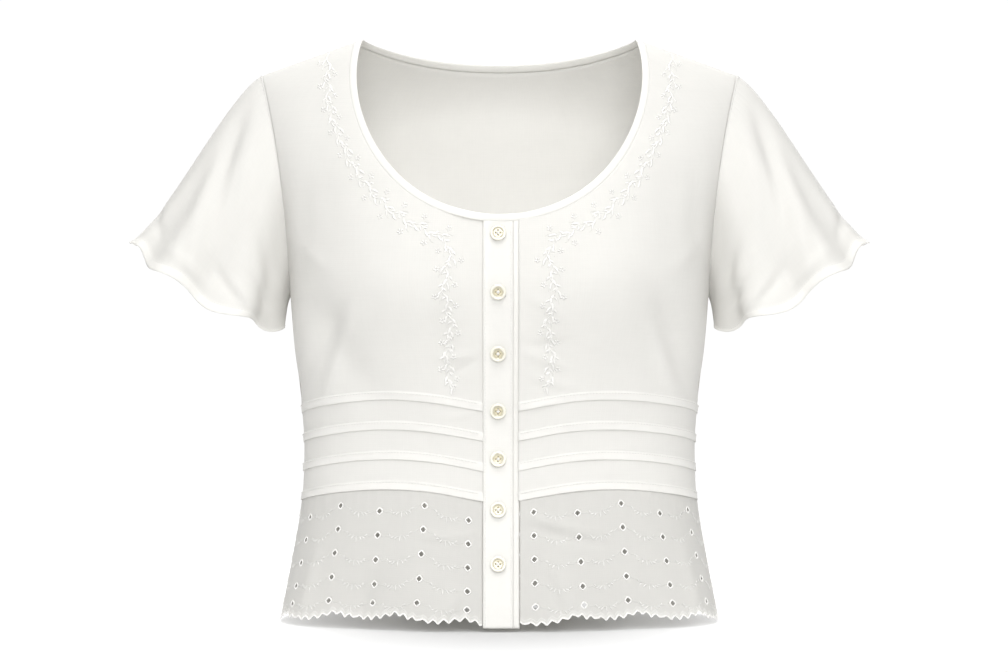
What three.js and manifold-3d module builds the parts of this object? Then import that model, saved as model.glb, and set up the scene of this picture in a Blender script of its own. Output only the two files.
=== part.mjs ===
// A short-sleeved summer blouse of fine white cotton, in the hollow shape that it takes when it is worn.
// The neck is a wide scoop with a narrow binding, and seven buttons close the front over a placket.
// Four tucks run round the waist. Below them hangs a band of eyelet lace with a scalloped hem.
// Millimetres. +X is the wearer's left, -Y the front and +Z up.
// The origin is midway between the middles of the two shoulder seams, where the wearer carries the blouse.
import * as THREE from "three";
import { mergeVertices } from "three/addons/utils/BufferGeometryUtils.js";
import Module from "manifold-3d";

const wasm = await Module();
wasm.setup();

const { lerp, degToRad, clamp, smoothstep } = THREE.MathUtils;

// Driving dimensions
const clothThickness = 1.2;
const seamGap = 0.3;
const squareness = 2.4; // exponent of the body's rounded-box sections, 2 is an ellipse
const shoulder = { neckX: 118, neckZ: 14, tipX: 202, tipZ: -16, frontRounding: 110, backRounding: 80 };
const neck = { halfWidth: 119, widestZ: -15, frontBottom: -138, backBottom: 0.3, backCurve: 2.2 };
const binding = { width: 6, thickness: 1.6 };
const armpitHeight = -203;
const armholeCurve = 2.2; // how late the front edge of the armhole swings in from the shoulder tip
const tuck = { width: 7.2, thickness: 1.4, overhang: 0.8, heights: [-376.5, -352, -327.5, -303] };
const bustLift = { height: 12, centre: 3, fadeFrom: -296, fadeTo: -204, atHem: 0.55 };
const placket = { from: -13.5, to: 11.5, thickness: 1.6, bottom: -474.5 }; // the wearer's right, on top
const underPlacket = { from: -9, to: 16.5, thickness: 1.6 }; // the wearer's left, beneath
const button = { diameter: 13.2, thickness: 2.6, holeRadius: 0.75, holeCircle: 1.7, x: -1 };
const buttonHeights = [-153.5, -201, -251, -298, -337.5, -379, -423];
const lace = { height: 99.5, eyeletAcross: 4.4, columnPitch: 40, firstColumn: 12, lastColumn: 14 };
const laceRows = {
  edges: [0, 23.2, 41.6, 60, 78.4],
  firstEyelet: 11,
  pitch: 18.4,
  stagger: 6, // how much lower every second column is
  lastStagger: 2, // the same in the last row, which has the hem just below it
};
const eyeletCell = 13; // width of the upright strip of cloth that holds a column of eyelets
const scallop = { pointWidth: 8, pointDepth: 2.8, lobeWidth: 55, lobeDepth: 4.5, lobeStart: 11.5 };

// Sections of the body from the hem up: half width, and depth before and behind the side seams.
const sections = [
  { height: -480, side: 186, front: 117, back: 109 },
  { height: -427, side: 176, front: 110, back: 101 },
  { height: -376, side: 167.5, front: 104, back: 93 },
  { height: -330, side: 165.5, front: 101, back: 88 },
  { height: -294, side: 168, front: 104, back: 90 },
  { height: -243, side: 174, front: 112, back: 97 },
  { height: -205, side: 177, front: 118, back: 103 },
  { height: -185, side: 178.5, front: 119, back: 105 },
  { height: -140, side: 185.5, front: 116, back: 108 },
  { height: -93, side: 198, front: 108, back: 107 },
  { height: -50, side: 207, front: 96, back: 103 },
  { height: 0, side: 211, front: 84, back: 97 },
  { height: 40, side: 213, front: 76, back: 92 },
];

// Ridges (+) and troughs (-) of the worn cloth. The angle runs round the body from the centre front
// towards the wearer's left, and lean is how far it shifts for each millimetre upwards.
const bodyFolds = [
  { angle: 37, height: -191, spread: 20, reach: 56, lean: 0, depth: 10 },
  { angle: -37, height: -191, spread: 20, reach: 56, lean: 0, depth: 10 },
  { angle: 58, height: -242, spread: 8, reach: 42, lean: -0.16, depth: -5 },
  { angle: -59, height: -246, spread: 8, reach: 44, lean: -0.16, depth: -5 },
  { angle: 22, height: -262, spread: 9, reach: 34, lean: 0.05, depth: -2.5 },
  { angle: -21, height: -258, spread: 8, reach: 36, lean: -0.05, depth: -2.8 },
  { angle: 60, height: -110, spread: 7, reach: 46, lean: 0.03, depth: -3 },
  { angle: -61, height: -112, spread: 7, reach: 44, lean: -0.03, depth: -3 },
  { angle: 24, height: -474, spread: 9, reach: 58, lean: 0.04, depth: 4 },
  { angle: 48, height: -470, spread: 9, reach: 52, lean: -0.05, depth: -4.5 },
  { angle: 72, height: -476, spread: 9, reach: 56, lean: 0, depth: 3 },
  { angle: -27, height: -474, spread: 10, reach: 55, lean: 0, depth: 4 },
  { angle: -52, height: -472, spread: 9, reach: 50, lean: 0.04, depth: -4 },
  { angle: -74, height: -476, spread: 8, reach: 58, lean: 0, depth: 3 },
  { angle: 148, height: -118, spread: 17, reach: 62, lean: 0, depth: 5 },
  { angle: -148, height: -118, spread: 17, reach: 62, lean: 0, depth: 5 },
  { angle: 180, height: -250, spread: 14, reach: 85, lean: 0, depth: -5 },
  { angle: 126, height: -262, spread: 8, reach: 62, lean: 0.07, depth: 3.5 },
  { angle: -128, height: -268, spread: 8, reach: 58, lean: -0.06, depth: 3.5 },
  { angle: 110, height: -470, spread: 9, reach: 56, lean: 0, depth: -4 },
  { angle: 136, height: -474, spread: 10, reach: 60, lean: 0.03, depth: 4.5 },
  { angle: 163, height: -470, spread: 10, reach: 52, lean: 0, depth: -3.5 },
  { angle: -166, height: -474, spread: 10, reach: 56, lean: 0, depth: 4 },
  { angle: -140, height: -470, spread: 9, reach: 54, lean: -0.03, depth: -4 },
  { angle: -113, height: -474, spread: 9, reach: 58, lean: 0, depth: 4 },
];

// The open end of the left sleeve. Its outer tip and underarm are its two ends as seen from the front.
const sleeve = {
  outerTip: new THREE.Vector3(312, 0, -155),
  underarm: new THREE.Vector3(186, 0, -232),
  halfDepth: 64,
  hang: 12,
  gap: 0.5,
};
// How the sleeve leaves the armhole and how it reaches its open end, each at the shoulder and at the
// underarm: the way it points, and how far it keeps it.
const sleeveStart = {
  top: { way: new THREE.Vector3(0.88, 0, -0.47), reach: 33 },
  under: { way: new THREE.Vector3(0.45, 0, -0.89), reach: 9 },
  spread: 0.3,
};
const sleeveEnd = {
  top: { way: new THREE.Vector3(0.86, 0, -0.5), reach: 35 },
  middleReach: 42,
  under: { way: new THREE.Vector3(0.34, 0, -0.94), reach: 10 },
};
// Long folds of the sleeve: place round the sleeve from the shoulder towards the front, and along it.
const sleeveFolds = [
  { around: 38, spread: 13, from: 0.1, to: 0.82, depth: -6 },
  { around: 66, spread: 13, from: 0.15, to: 1.1, depth: 3 },
  { around: 96, spread: 12, from: 0.5, to: 1.2, depth: -4.5 },
  { around: 130, spread: 11, from: 0.55, to: 1.2, depth: 3.5 },
  { around: 215, spread: 12, from: 0.5, to: 1.2, depth: 4 },
  { around: 247, spread: 13, from: 0.4, to: 1.2, depth: -4.5 },
  { around: 300, spread: 15, from: 0.1, to: 0.85, depth: -6 },
  { around: 330, spread: 13, from: 0.3, to: 1.2, depth: 3 },
];
const ruffle = { waves: 7, height: 5.5, phase: -28, lift: 3.7 };

// How finely the walls are divided
const frontColumns = 14;
const backColumns = 18;
const yokeRings = 6; // between the armpit level and the neck
const armholeStops = 10;
const stripColumns = 3;
const stripRows = 18;
const middleHeights = [-272, -248, -225, armpitHeight];
const sleeveRows = [0, 0.08, 0.2, 0.35, 0.5, 0.64, 0.77, 0.88, 1];

const cotton = { color: 0xf2f1ed, roughness: 0.9, metalness: 0 };
const laceCotton = { color: 0xeceae6, roughness: 0.92, metalness: 0 };
const pearl = { color: 0xf0ead8, roughness: 0.25, metalness: 0 };

// The body's surface

// A column of the sections table at any height, on a smooth cubic through its rows.
function sectionAt(height, column) {
  const last = sections.length - 2;
  const found = sections.findIndex((row, i) => i <= last && height < sections[i + 1].height);
  const i = found < 0 ? last : found;
  const slope = (k) => {
    const before = sections[Math.max(k - 1, 0)];
    const after = sections[Math.min(k + 1, last + 1)];
    return (after[column] - before[column]) / (after.height - before.height);
  };
  const [low, high] = [sections[i], sections[i + 1]];
  const span = high.height - low.height;
  const t = clamp((height - low.height) / span, 0, 1);
  const keep = (1 + 2 * t) * (1 - t) ** 2;
  return (
    keep * low[column] +
    (1 - keep) * high[column] +
    span * t * (1 - t) * ((1 - t) * slope(i) - t * slope(i + 1))
  );
}

// Height of the shoulder seam at a distance from the middle. It is carried on over the neck as a low arch.
function shoulderLine(x) {
  const slope = (shoulder.neckZ - shoulder.tipZ) / (shoulder.tipX - shoulder.neckX);
  const out = Math.abs(x);
  if (out >= shoulder.neckX) return shoulder.neckZ - slope * (out - shoulder.neckX);
  return shoulder.neckZ + (slope * shoulder.neckX * (1 - (out / shoulder.neckX) ** 2)) / 2;
}

function relief(angle, height) {
  return bodyFolds.reduce((sum, fold) => {
    const centre = degToRad(fold.angle + fold.lean * (height - fold.height));
    const away = Math.atan2(Math.sin(angle - centre), Math.cos(angle - centre));
    const round = away / degToRad(fold.spread);
    const along = (height - fold.height) / fold.reach;
    return sum + fold.depth * Math.exp(-round * round - along * along);
  }, 0);
}

// Distance from the body's axis to the cloth, at an angle from the centre front.
function radiusAt(angle, height) {
  const depth = sectionAt(height, Math.cos(angle) > 0 ? "front" : "back");
  const across = Math.abs(Math.sin(angle)) / sectionAt(height, "side");
  const forward = Math.abs(Math.cos(angle)) / depth;
  return (across ** squareness + forward ** squareness) ** (-1 / squareness) + relief(angle, height);
}

// A point of the cloth, at an angle and at a drop below the shoulder line. Near the line the cloth rounds over it.
function bodyPoint(angle, drop) {
  let height = -drop;
  for (let pass = 0; pass < 8; pass++)
    height = shoulderLine(radiusAt(angle, height) * Math.sin(angle)) - drop;
  const radius = radiusAt(angle, height);
  const rounding = Math.cos(angle) > 0 ? shoulder.frontRounding : shoulder.backRounding;
  const short = 1 - Math.min(drop / rounding, 1);
  return new THREE.Vector3(
    radius * Math.sin(angle),
    -radius * Math.cos(angle) * Math.sqrt(1 - short * short),
    height,
  );
}

// The same point moved out along the cloth's normal. Front pieces keep half a seam gap before the side
// and shoulder seams, and back pieces keep the other half behind them.
function onBody(angle, drop, out, isBack = false) {
  const turn = 0.01;
  const down = 0.05;
  const along = bodyPoint(angle + turn, drop).sub(bodyPoint(angle - turn, drop));
  const point = bodyPoint(angle, drop);
  const up = point.clone().sub(bodyPoint(angle, drop + down));
  point.addScaledVector(along.cross(up).normalize(), out);
  point.y += isBack ? seamGap / 2 : -seamGap / 2;
  return point;
}

const dropAt = (angle, height) =>
  Math.max(0, shoulderLine(radiusAt(angle, height) * Math.sin(angle)) - height);

// The angle at which the cloth stands at a distance from the middle plane.
function angleAt(x, height, isBack = false) {
  const depth = sectionAt(height, isBack ? "back" : "front");
  const share = Math.min(Math.abs(x) / sectionAt(height, "side"), 1);
  const y = depth * (1 - share ** squareness) ** (1 / squareness);
  const angle = Math.atan2(x, y);
  return isBack ? Math.PI - angle : angle;
}

const place = (angle, drop) => new THREE.Vector2(angle, drop);
const placeAt = (x, height, isBack) => {
  const angle = angleAt(x, height, isBack);
  return place(angle, Math.max(0, shoulderLine(x) - height));
};

// How far the bust draws up the tucks and the hem, which then sink again towards the centre front.
function liftAt(angle, height) {
  const share = Math.abs(angle) / (Math.PI / 2);
  if (share >= 1) return 0;
  const lift = bustLift.height * Math.sin(Math.PI * share) ** 1.5 + bustLift.centre * (1 - share);
  const atHem = lerp(bustLift.atHem, 1, smoothstep(height, tuck.heights[0] - lace.height, tuck.heights[0]));
  return lift * atHem * (1 - smoothstep(height, bustLift.fadeFrom, bustLift.fadeTo));
}

// Edges of the cut pieces

const quarter = Math.PI / 2;

// A row of values between two ends.
const steps = (from, to, count) => Array.from({ length: count + 1 }, (_, i) => lerp(from, to, i / count));

// The front neckline is most of an ellipse. A margin moves it away from the opening. Its turn runs from
// the bottom, and its last turn is where it meets the shoulder seam.
function neckEllipse(margin) {
  const across = neck.halfWidth + margin;
  const down = neck.widestZ - neck.frontBottom + margin;
  let lastTurn = quarter;
  for (let pass = 0; pass < 8; pass++)
    lastTurn = Math.acos((neck.widestZ - shoulderLine(across * Math.sin(lastTurn))) / down);
  return { across, down, lastTurn, seamX: across * Math.sin(lastTurn) };
}

// share is 0 at the centre front and 1 at the shoulder seam.
function frontNeckline(margin, share) {
  const { across, down, lastTurn } = neckEllipse(margin);
  const turn = share * lastTurn;
  return placeAt(across * Math.sin(turn), neck.widestZ - down * Math.cos(turn), false);
}

// share is 1 at the left shoulder seam, 0 at the centre back and -1 at the right seam.
function backNeckline(margin, share) {
  const { seamX } = neckEllipse(margin);
  const bottom = neck.backBottom - margin;
  const x = seamX * Math.sin(share * quarter);
  const height = bottom + (shoulderLine(seamX) - bottom) * Math.abs(x / seamX) ** neck.backCurve;
  return placeAt(x, height, true);
}

// The panels stop short of the neck's edge, where the binding begins.
const neckMargin = binding.width + seamGap;
const panelNeck = neckEllipse(neckMargin);
const neckShareAt = (x) => Math.asin(x / panelNeck.across) / panelNeck.lastTurn;

// Stops up the armhole crowd towards the shoulder line, where the cloth turns over. The stops of the
// neckline across from them crowd in the same way, and the rest are spread evenly along it.
const armholeShares = steps(0, 1, armholeStops).map((share) => 1 - (1 - share) ** 1.6);
const sideTurn = degToRad(50);
function frontNeckShares(centreX) {
  const even = steps(neckShareAt(centreX), sideTurn / panelNeck.lastTurn, frontColumns);
  const [low, high] = [Math.cos(sideTurn), Math.cos(panelNeck.lastTurn)];
  const crowded = armholeShares.slice(1).map((share) => Math.acos(lerp(low, high, share)) / panelNeck.lastTurn);
  return [...even, ...crowded];
}
const backSide = 0.37;
function backNeckShares() {
  const crowded = armholeShares.map((share) => lerp(backSide, 1, share));
  const even = steps(backSide, -backSide, backColumns).slice(1, -1);
  return [...[...crowded].reverse(), ...even, ...crowded.map((share) => -share)];
}

// Edge of the armhole, from the armpit (0) to the shoulder tip (1).
function armhole(share, isBack) {
  const height = lerp(armpitHeight, shoulder.tipZ, share);
  const armpitX = sectionAt(armpitHeight, "side");
  const x = armpitX + (shoulder.tipX - armpitX) * share ** armholeCurve;
  return placeAt(x, height, isBack);
}

function shoulderSeam(x, isBack) {
  return placeAt(x, shoulderLine(x), isBack);
}

// Closed walls of cloth

// The same net of faces outside and inside, joined all round its edges and holes. Each joining face is
// halved from its higher outer corner, so that two walls that meet at a seam are halved alike.
function wall(outer, inner, faces) {
  const count = outer.length;
  const index = [];
  const sides = new Map();
  for (const [a, b, c] of faces) {
    index.push(a, b, c, count + a, count + c, count + b);
    for (const side of [[a, b], [b, c], [c, a]]) sides.set(side.join(), side);
  }
  for (const [p, q] of sides.values()) {
    if (sides.has([q, p].join())) continue;
    if (outer[q].z > outer[p].z) index.push(q, p, count + p, q, count + p, count + q);
    else index.push(q, p, count + q, p, count + p, count + q);
  }
  const geometry = new THREE.BufferGeometry().setFromPoints([...outer, ...inner]);
  geometry.setIndex(index);
  return geometry;
}

// A closed geometry whose faces point inwards is turned round.
function facingOut(geometry) {
  const position = geometry.getAttribute("position");
  const index = geometry.index.array;
  const corner = (k) => new THREE.Vector3().fromBufferAttribute(position, index[k]);
  let volume = 0;
  for (let i = 0; i < index.length; i += 3)
    volume += corner(i).dot(corner(i + 1).cross(corner(i + 2)));
  if (volume < 0)
    for (let i = 0; i < index.length; i += 3) [index[i], index[i + 1]] = [index[i + 1], index[i]];
  return geometry;
}

// Rows of points, outside and inside, and the faces that join one row to the next.
class Sheet {
  constructor() {
    this.outer = [];
    this.inner = [];
    this.faces = [];
  }

  row(pairs) {
    const first = this.outer.length;
    for (const [outer, inner] of pairs) {
      this.outer.push(outer);
      this.inner.push(inner);
    }
    return pairs.map((_, i) => first + i);
  }

  join(below, above) {
    for (let i = 0; i + 1 < below.length; i++)
      this.faces.push([below[i], below[i + 1], above[i + 1]], [below[i], above[i + 1], above[i]]);
  }

  toWall() {
    return facingOut(wall(this.outer, this.inner, this.faces));
  }
}

// Rows of a panel from the lowest tuck up to the armpit. Each tuck is a flap over the cloth below it.
function panelRows() {
  const rows = [];
  tuck.heights.forEach((height, i) => {
    if (i > 0) rows.push({ outer: height + tuck.overhang, raised: 0, inner: height - tuck.overhang });
    rows.push({ outer: height, raised: tuck.thickness, inner: i > 0 ? height + tuck.overhang : height });
    rows.push({ outer: height + tuck.width, raised: 0, inner: height + tuck.width });
  });
  for (const height of middleHeights) rows.push({ outer: height, raised: 0, inner: height });
  return rows;
}

// A front or back panel. Rows run round the body up to the armpit. Above it, rings close in on the neck
// from the armpit row and the armhole, or from both armholes on the back.
function panel({ columns, lowerAngle, armholes, neckline, ends, isBack }) {
  const sheet = new Sheet();
  const at = (spot, out) => onBody(spot.x, Math.max(spot.y, 0), out, isBack);
  const pair = (spot) => [at(spot, 0), at(spot, -clothThickness)];
  const lowerSpot = (share, height) => {
    const angle = lowerAngle(share, height);
    return place(angle, dropAt(angle, height + liftAt(angle, height)));
  };
  const shares = steps(0, 1, columns);
  const rows = panelRows().map((row) =>
    sheet.row(
      shares.map((share) => [
        at(lowerSpot(share, row.outer), row.raised),
        at(lowerSpot(share, row.inner), -clothThickness),
      ]),
    ),
  );
  for (let i = 1; i < rows.length; i++) sheet.join(rows[i - 1], rows[i]);
  const armpitSpots = shares.map((share) => lowerSpot(share, armpitHeight));
  const rim = [...armholes.before, ...armpitSpots, ...armholes.after];
  let ring = [
    ...sheet.row(armholes.before.map(pair)),
    ...rows[rows.length - 1],
    ...sheet.row(armholes.after.map(pair)),
  ];
  const last = rim.length - 1;
  for (let step = 1; step <= yokeRings; step++) {
    const t = step / yokeRings;
    const plain = rim.map((spot, k) => spot.clone().lerp(neckline[k], t));
    const startsOff = ends.first(t).sub(plain[0]);
    const endsOff = ends.last(t).sub(plain[last]);
    const spots = plain.map((spot, k) =>
      spot.clone().addScaledVector(startsOff, 1 - k / last).addScaledVector(endsOff, k / last),
    );
    const next = sheet.row(spots.map(pair));
    sheet.join(ring, next);
    ring = next;
  }
  return sheet.toWall();
}

// A front panel from its placket to the side seam. side is 1 for the wearer's left and -1 for the right.
function frontPanel(side) {
  const centreX = (side > 0 ? underPlacket.to : -placket.from) + seamGap;
  const turned = (spot) => place(side * spot.x, spot.y);
  const neckline = frontNeckShares(centreX).map((share) => frontNeckline(neckMargin, share));
  const centreTop = shoulderLine(centreX) - neckline[0].y;
  return panel({
    columns: frontColumns,
    lowerAngle: (share, height) => side * lerp(angleAt(centreX, height), quarter, share),
    armholes: { before: [], after: armholeShares.slice(1).map((share) => turned(armhole(share, false))) },
    neckline: neckline.map(turned),
    ends: {
      first: (t) => turned(placeAt(centreX, lerp(armpitHeight, centreTop, t), false)),
      last: (t) => turned(shoulderSeam(lerp(shoulder.tipX, panelNeck.seamX, t), false)),
    },
    isBack: false,
  });
}

function backPanel() {
  const leftArmhole = armholeShares.slice(1).map((share) => armhole(share, true));
  const toRight = (spot) => place(4 * quarter - spot.x, spot.y);
  const seam = (t) => shoulderSeam(lerp(shoulder.tipX, panelNeck.seamX, t), true);
  return panel({
    columns: backColumns,
    lowerAngle: (share) => lerp(quarter, 3 * quarter, share),
    armholes: { before: [...leftArmhole].reverse(), after: leftArmhole.map(toRight) },
    neckline: backNeckShares().map((share) => backNeckline(neckMargin, share)),
    ends: { first: seam, last: (t) => toRight(seam(t)) },
    isBack: true,
  });
}

// The upright strips that carry the buttons and buttonholes, from the hem to the neck binding.
function placketStrip({ from, to, inside, thickness }) {
  const sheet = new Sheet();
  const rows = steps(0, 1, stripRows).map((share) =>
    sheet.row(
      steps(from, to, stripColumns).map((x) => {
        const top = shoulderLine(x) - frontNeckline(neckMargin, neckShareAt(x)).y;
        const spot = placeAt(x, lerp(placket.bottom, top, share), false);
        return [onBody(spot.x, spot.y, inside + thickness), onBody(spot.x, spot.y, inside)];
      }),
    ),
  );
  for (let i = 1; i < rows.length; i++) sheet.join(rows[i - 1], rows[i]);
  return sheet.toWall();
}

// The binding runs round the neck from its end under the placket to its end on top of it.
function neckBinding() {
  const under = steps(underPlacket.from, underPlacket.to, stripColumns).slice(0, -1).map(neckShareAt);
  const over = steps(placket.from, placket.to, stripColumns).slice(1).map(neckShareAt);
  const left = frontNeckShares(underPlacket.to + seamGap);
  const right = frontNeckShares(seamGap - placket.from).map((share) => -share).reverse();
  const back = backNeckShares().slice(1, -1);
  const stops = [
    ...[...under, ...left].map((share) => ({ edge: frontNeckline, share })),
    ...back.map((share) => ({ edge: backNeckline, share, isBack: true })),
    ...[...right, ...over].map((share) => ({ edge: frontNeckline, share })),
  ];
  const level = { under: -binding.thickness, middle: 0.2 - binding.thickness, over: seamGap };
  const last = stops.length - 1;
  const settle = 4; // stops over which the binding climbs from one layer to another
  const sheet = new Sheet();
  const rows = stops.map(({ edge, share, isBack }, i) => {
    const inside =
      lerp(level.under, level.middle, smoothstep(i, stripColumns, stripColumns + settle)) +
      (level.over - level.middle) * smoothstep(i, last - stripColumns - settle, last - stripColumns);
    const atSeam = Math.abs(share) > 1 - 1e-9;
    return sheet.row(
      [binding.width, binding.width / 2, 0].map((margin) => {
        const spot = edge(margin, share);
        const crown = margin === binding.width / 2 ? 0.3 : 0;
        return [inside + binding.thickness + crown, inside].map((out) => {
          const point = onBody(spot.x, spot.y, out, isBack);
          if (atSeam) point.y = 0;
          return point;
        });
      }),
    );
  });
  for (let i = 1; i < rows.length; i++) sheet.join(rows[i - 1], rows[i]);
  return sheet.toWall();
}

// Eyelet lace, drawn flat and then laid on the body

// Points and faces of a flat piece, where equal points are shared.
class FlatNet {
  constructor() {
    this.points = [];
    this.faces = [];
    this.numbers = new Map();
  }

  number(point) {
    const key = `${point.x.toFixed(3)} ${point.y.toFixed(3)}`;
    if (!this.numbers.has(key)) {
      this.numbers.set(key, this.points.length);
      this.points.push(point);
    }
    return this.numbers.get(key);
  }

  add(outline, holes) {
    const corners = [...outline, ...holes.flat()].map((point) => this.number(point));
    for (const face of THREE.ShapeUtils.triangulateShape(outline, holes)) {
      const [a, b, c] = face.map((k) => corners[k]);
      const [p, q, r] = [a, b, c].map((k) => this.points[k]);
      const turnsLeft = (q.x - p.x) * (r.y - p.y) - (q.y - p.y) * (r.x - p.x) > 0;
      this.faces.push(turnsLeft ? [a, b, c] : [a, c, b]);
    }
  }
}

// Depth of the hem's edge below the lace's plain bottom line: small points on large lobes.
function scallopDepth(across) {
  const along = (across + scallop.lobeStart) / scallop.lobeWidth;
  const lobe = scallop.lobeDepth * Math.abs(Math.sin(Math.PI * along));
  const half = scallop.pointWidth / 2;
  const isPoint = Math.round(across / half) % 2 === 1;
  return lobe + (isPoint ? scallop.pointDepth : 0) - scallop.lobeDepth - scallop.pointDepth;
}

function eyelet(centre) {
  const corners = 6;
  return Array.from({ length: corners }, (_, i) => {
    const turn = (2 * Math.PI * (i + 0.5)) / corners;
    const radius = lace.eyeletAcross / 2;
    return new THREE.Vector2(centre.x + radius * Math.cos(turn), centre.y + radius * Math.sin(turn));
  });
}

// A flat piece of lace, in millimetres across and down (as negative y). Upright strips with a column of
// eyelets take turns with two plain strips, and the lowest cell of each strip has the scalloped edge.
function flatLace(width, eyeletColumns) {
  const net = new FlatNet();
  const halfPoint = scallop.pointWidth / 2;
  const at = (x, down) => new THREE.Vector2(x, -down);
  const strips = [];
  let left = 0;
  eyeletColumns.forEach((centre, column) => {
    const start = centre - eyeletCell / 2;
    const middle = (left + start) / 2;
    const plain = column > 0 ? [[left, middle], [middle, start]] : [[left, start]];
    strips.push(...plain.map(([from, to]) => ({ from, to })));
    left = centre + eyeletCell / 2;
    strips.push({ from: start, to: left, centre, isLower: column % 2 === 1 });
  });
  strips.push({ from: left, to: width });
  for (const { from, to, centre, isLower } of strips)
    laceRows.edges.forEach((top, row) => {
      const bottom = laceRows.edges[row + 1];
      const outline = [at(to, top), at(from, top)];
      if (bottom) {
        outline.push(at(from, bottom), at(to, bottom));
      } else {
        const across = [from];
        for (let k = Math.ceil(from / halfPoint + 0.3); k * halfPoint < to - 0.3 * halfPoint; k++)
          across.push(k * halfPoint);
        across.push(to);
        outline.push(...across.map((x) => at(x, lace.height + scallopDepth(x))));
      }
      const stagger = bottom ? laceRows.stagger : laceRows.lastStagger;
      const down = laceRows.firstEyelet + row * laceRows.pitch + (isLower ? stagger : 0);
      net.add(outline, centre ? [eyelet(at(centre, down))] : []);
    });
  return net;
}

// Lays lace between two edges of the body, which are given as angles at a height.
function lacePanel(fromAngle, toAngle, isBack) {
  const middle = tuck.heights[0] - lace.height / 2;
  const pieces = 60;
  const lengths = [0];
  const at = (share) => {
    const angle = lerp(fromAngle(middle), toAngle(middle), share);
    return bodyPoint(angle, dropAt(angle, middle));
  };
  for (let i = 1; i <= pieces; i++)
    lengths.push(lengths[i - 1] + at(i / pieces).distanceTo(at((i - 1) / pieces)));
  const width = lengths[pieces];
  const shareAt = (across) => {
    const i = clamp(lengths.findIndex((length) => length >= across - 1e-6), 1, pieces);
    return (i - 1 + (across - lengths[i - 1]) / (lengths[i] - lengths[i - 1])) / pieces;
  };
  const inset = isBack ? lace.lastColumn : lace.firstColumn;
  const columns = Math.round((width - inset - lace.lastColumn) / lace.columnPitch) + 1;
  const pitch = (width - inset - lace.lastColumn) / (columns - 1);
  const startsAtSide = fromAngle(middle) <= -quarter + 1e-9;
  const centres = Array.from({ length: columns }, (_, i) =>
    startsAtSide ? lace.lastColumn + i * pitch : inset + i * pitch,
  );
  const net = flatLace(width, centres);
  const top = tuck.heights[0] - seamGap;
  const put = (point, out) => {
    const share = clamp(shareAt(point.x), 0, 1);
    const plain = top + point.y;
    const angle = lerp(fromAngle(plain), toAngle(plain), share);
    return onBody(angle, dropAt(angle, plain + liftAt(angle, plain)), out, isBack);
  };
  const outer = net.points.map((point) => put(point, 0));
  const inner = net.points.map((point) => put(point, -clothThickness));
  return facingOut(wall(outer, inner, net.faces));
}

// Sleeves

// Points round the armhole, from the shoulder tip down the front and up the back. One lies between each
// pair of the panels' own stops, on the straight line that joins them.
function armholeRing() {
  const front = [...armholeShares].reverse().map((share) => armhole(share, false));
  const back = armholeShares.slice(1, -1).map((share) => armhole(share, true));
  const points = [...front, ...back].map((spot) => bodyPoint(spot.x, spot.y));
  return points.flatMap((point, i) => [
    point,
    point.clone().lerp(points[(i + 1) % points.length], 0.5),
  ]);
}

// Rise or fall of the sleeve's cloth from its smooth shape.
function sleeveRelief(around, along) {
  const folds = sleeveFolds.reduce((sum, fold) => {
    const off = Math.atan2(Math.sin(around - degToRad(fold.around)), Math.cos(around - degToRad(fold.around)));
    const across = off / degToRad(fold.spread);
    const middle = (fold.from + fold.to) / 2;
    const reach = (fold.to - fold.from) / 2;
    const inside = (along - middle) / reach;
    return sum + fold.depth * Math.exp(-across * across) * Math.exp(-2 * inside * inside);
  }, 0);
  const flutter = ruffle.height * along ** 3 * Math.sin(ruffle.waves * around + degToRad(ruffle.phase));
  return (folds * smoothstep(along, 0, 0.2) + flutter) * (1 - 0.5 * smoothstep(-Math.cos(around), 0.6, 1));
}

function smoothSleeve(ring, around, along) {
  const { outerTip, underarm } = sleeve;
  const position = (around / (2 * Math.PI)) * ring.length;
  const before = Math.floor(position) % ring.length;
  const start = ring[before].clone().lerp(ring[(before + 1) % ring.length], position - Math.floor(position));
  start.x += sleeve.gap;
  const centre = outerTip.clone().lerp(underarm, 0.5);
  const halfAxis = outerTip.clone().sub(centre);
  const outward = new THREE.Vector3(-halfAxis.z, 0, halfAxis.x).normalize().negate();
  if (outward.z > 0) outward.negate();
  const [c, s] = [Math.cos(around), Math.sin(around)];
  const end = centre
    .addScaledVector(halfAxis, c)
    .add(new THREE.Vector3(0, -sleeve.halfDepth * s, 0))
    .addScaledVector(outward, sleeve.hang * s * s)
    .addScaledVector(outward, ruffle.lift * Math.cos(ruffle.waves * around));
  const topShare = (1 + c) / 2;
  const startWay = sleeveStart.under.way.clone().lerp(sleeveStart.top.way, topShare);
  startWay.y -= sleeveStart.spread * s;
  const startReach = lerp(sleeveStart.under.reach, sleeveStart.top.reach, topShare);
  const towardsTop = topShare ** 5;
  const awayFromUnder = smoothstep(topShare, 0, 0.4);
  const endWay = sleeveEnd.under.way.clone().lerp(outward, awayFromUnder).lerp(sleeveEnd.top.way, towardsTop);
  const endReach = lerp(
    lerp(sleeveEnd.under.reach, sleeveEnd.middleReach, awayFromUnder),
    sleeveEnd.top.reach,
    towardsTop,
  );
  const second = start.clone().addScaledVector(startWay.normalize(), startReach);
  const third = end.clone().addScaledVector(endWay.normalize(), -endReach);
  return new THREE.CubicBezierCurve3(start, second, third, end).getPoint(along);
}

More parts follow.
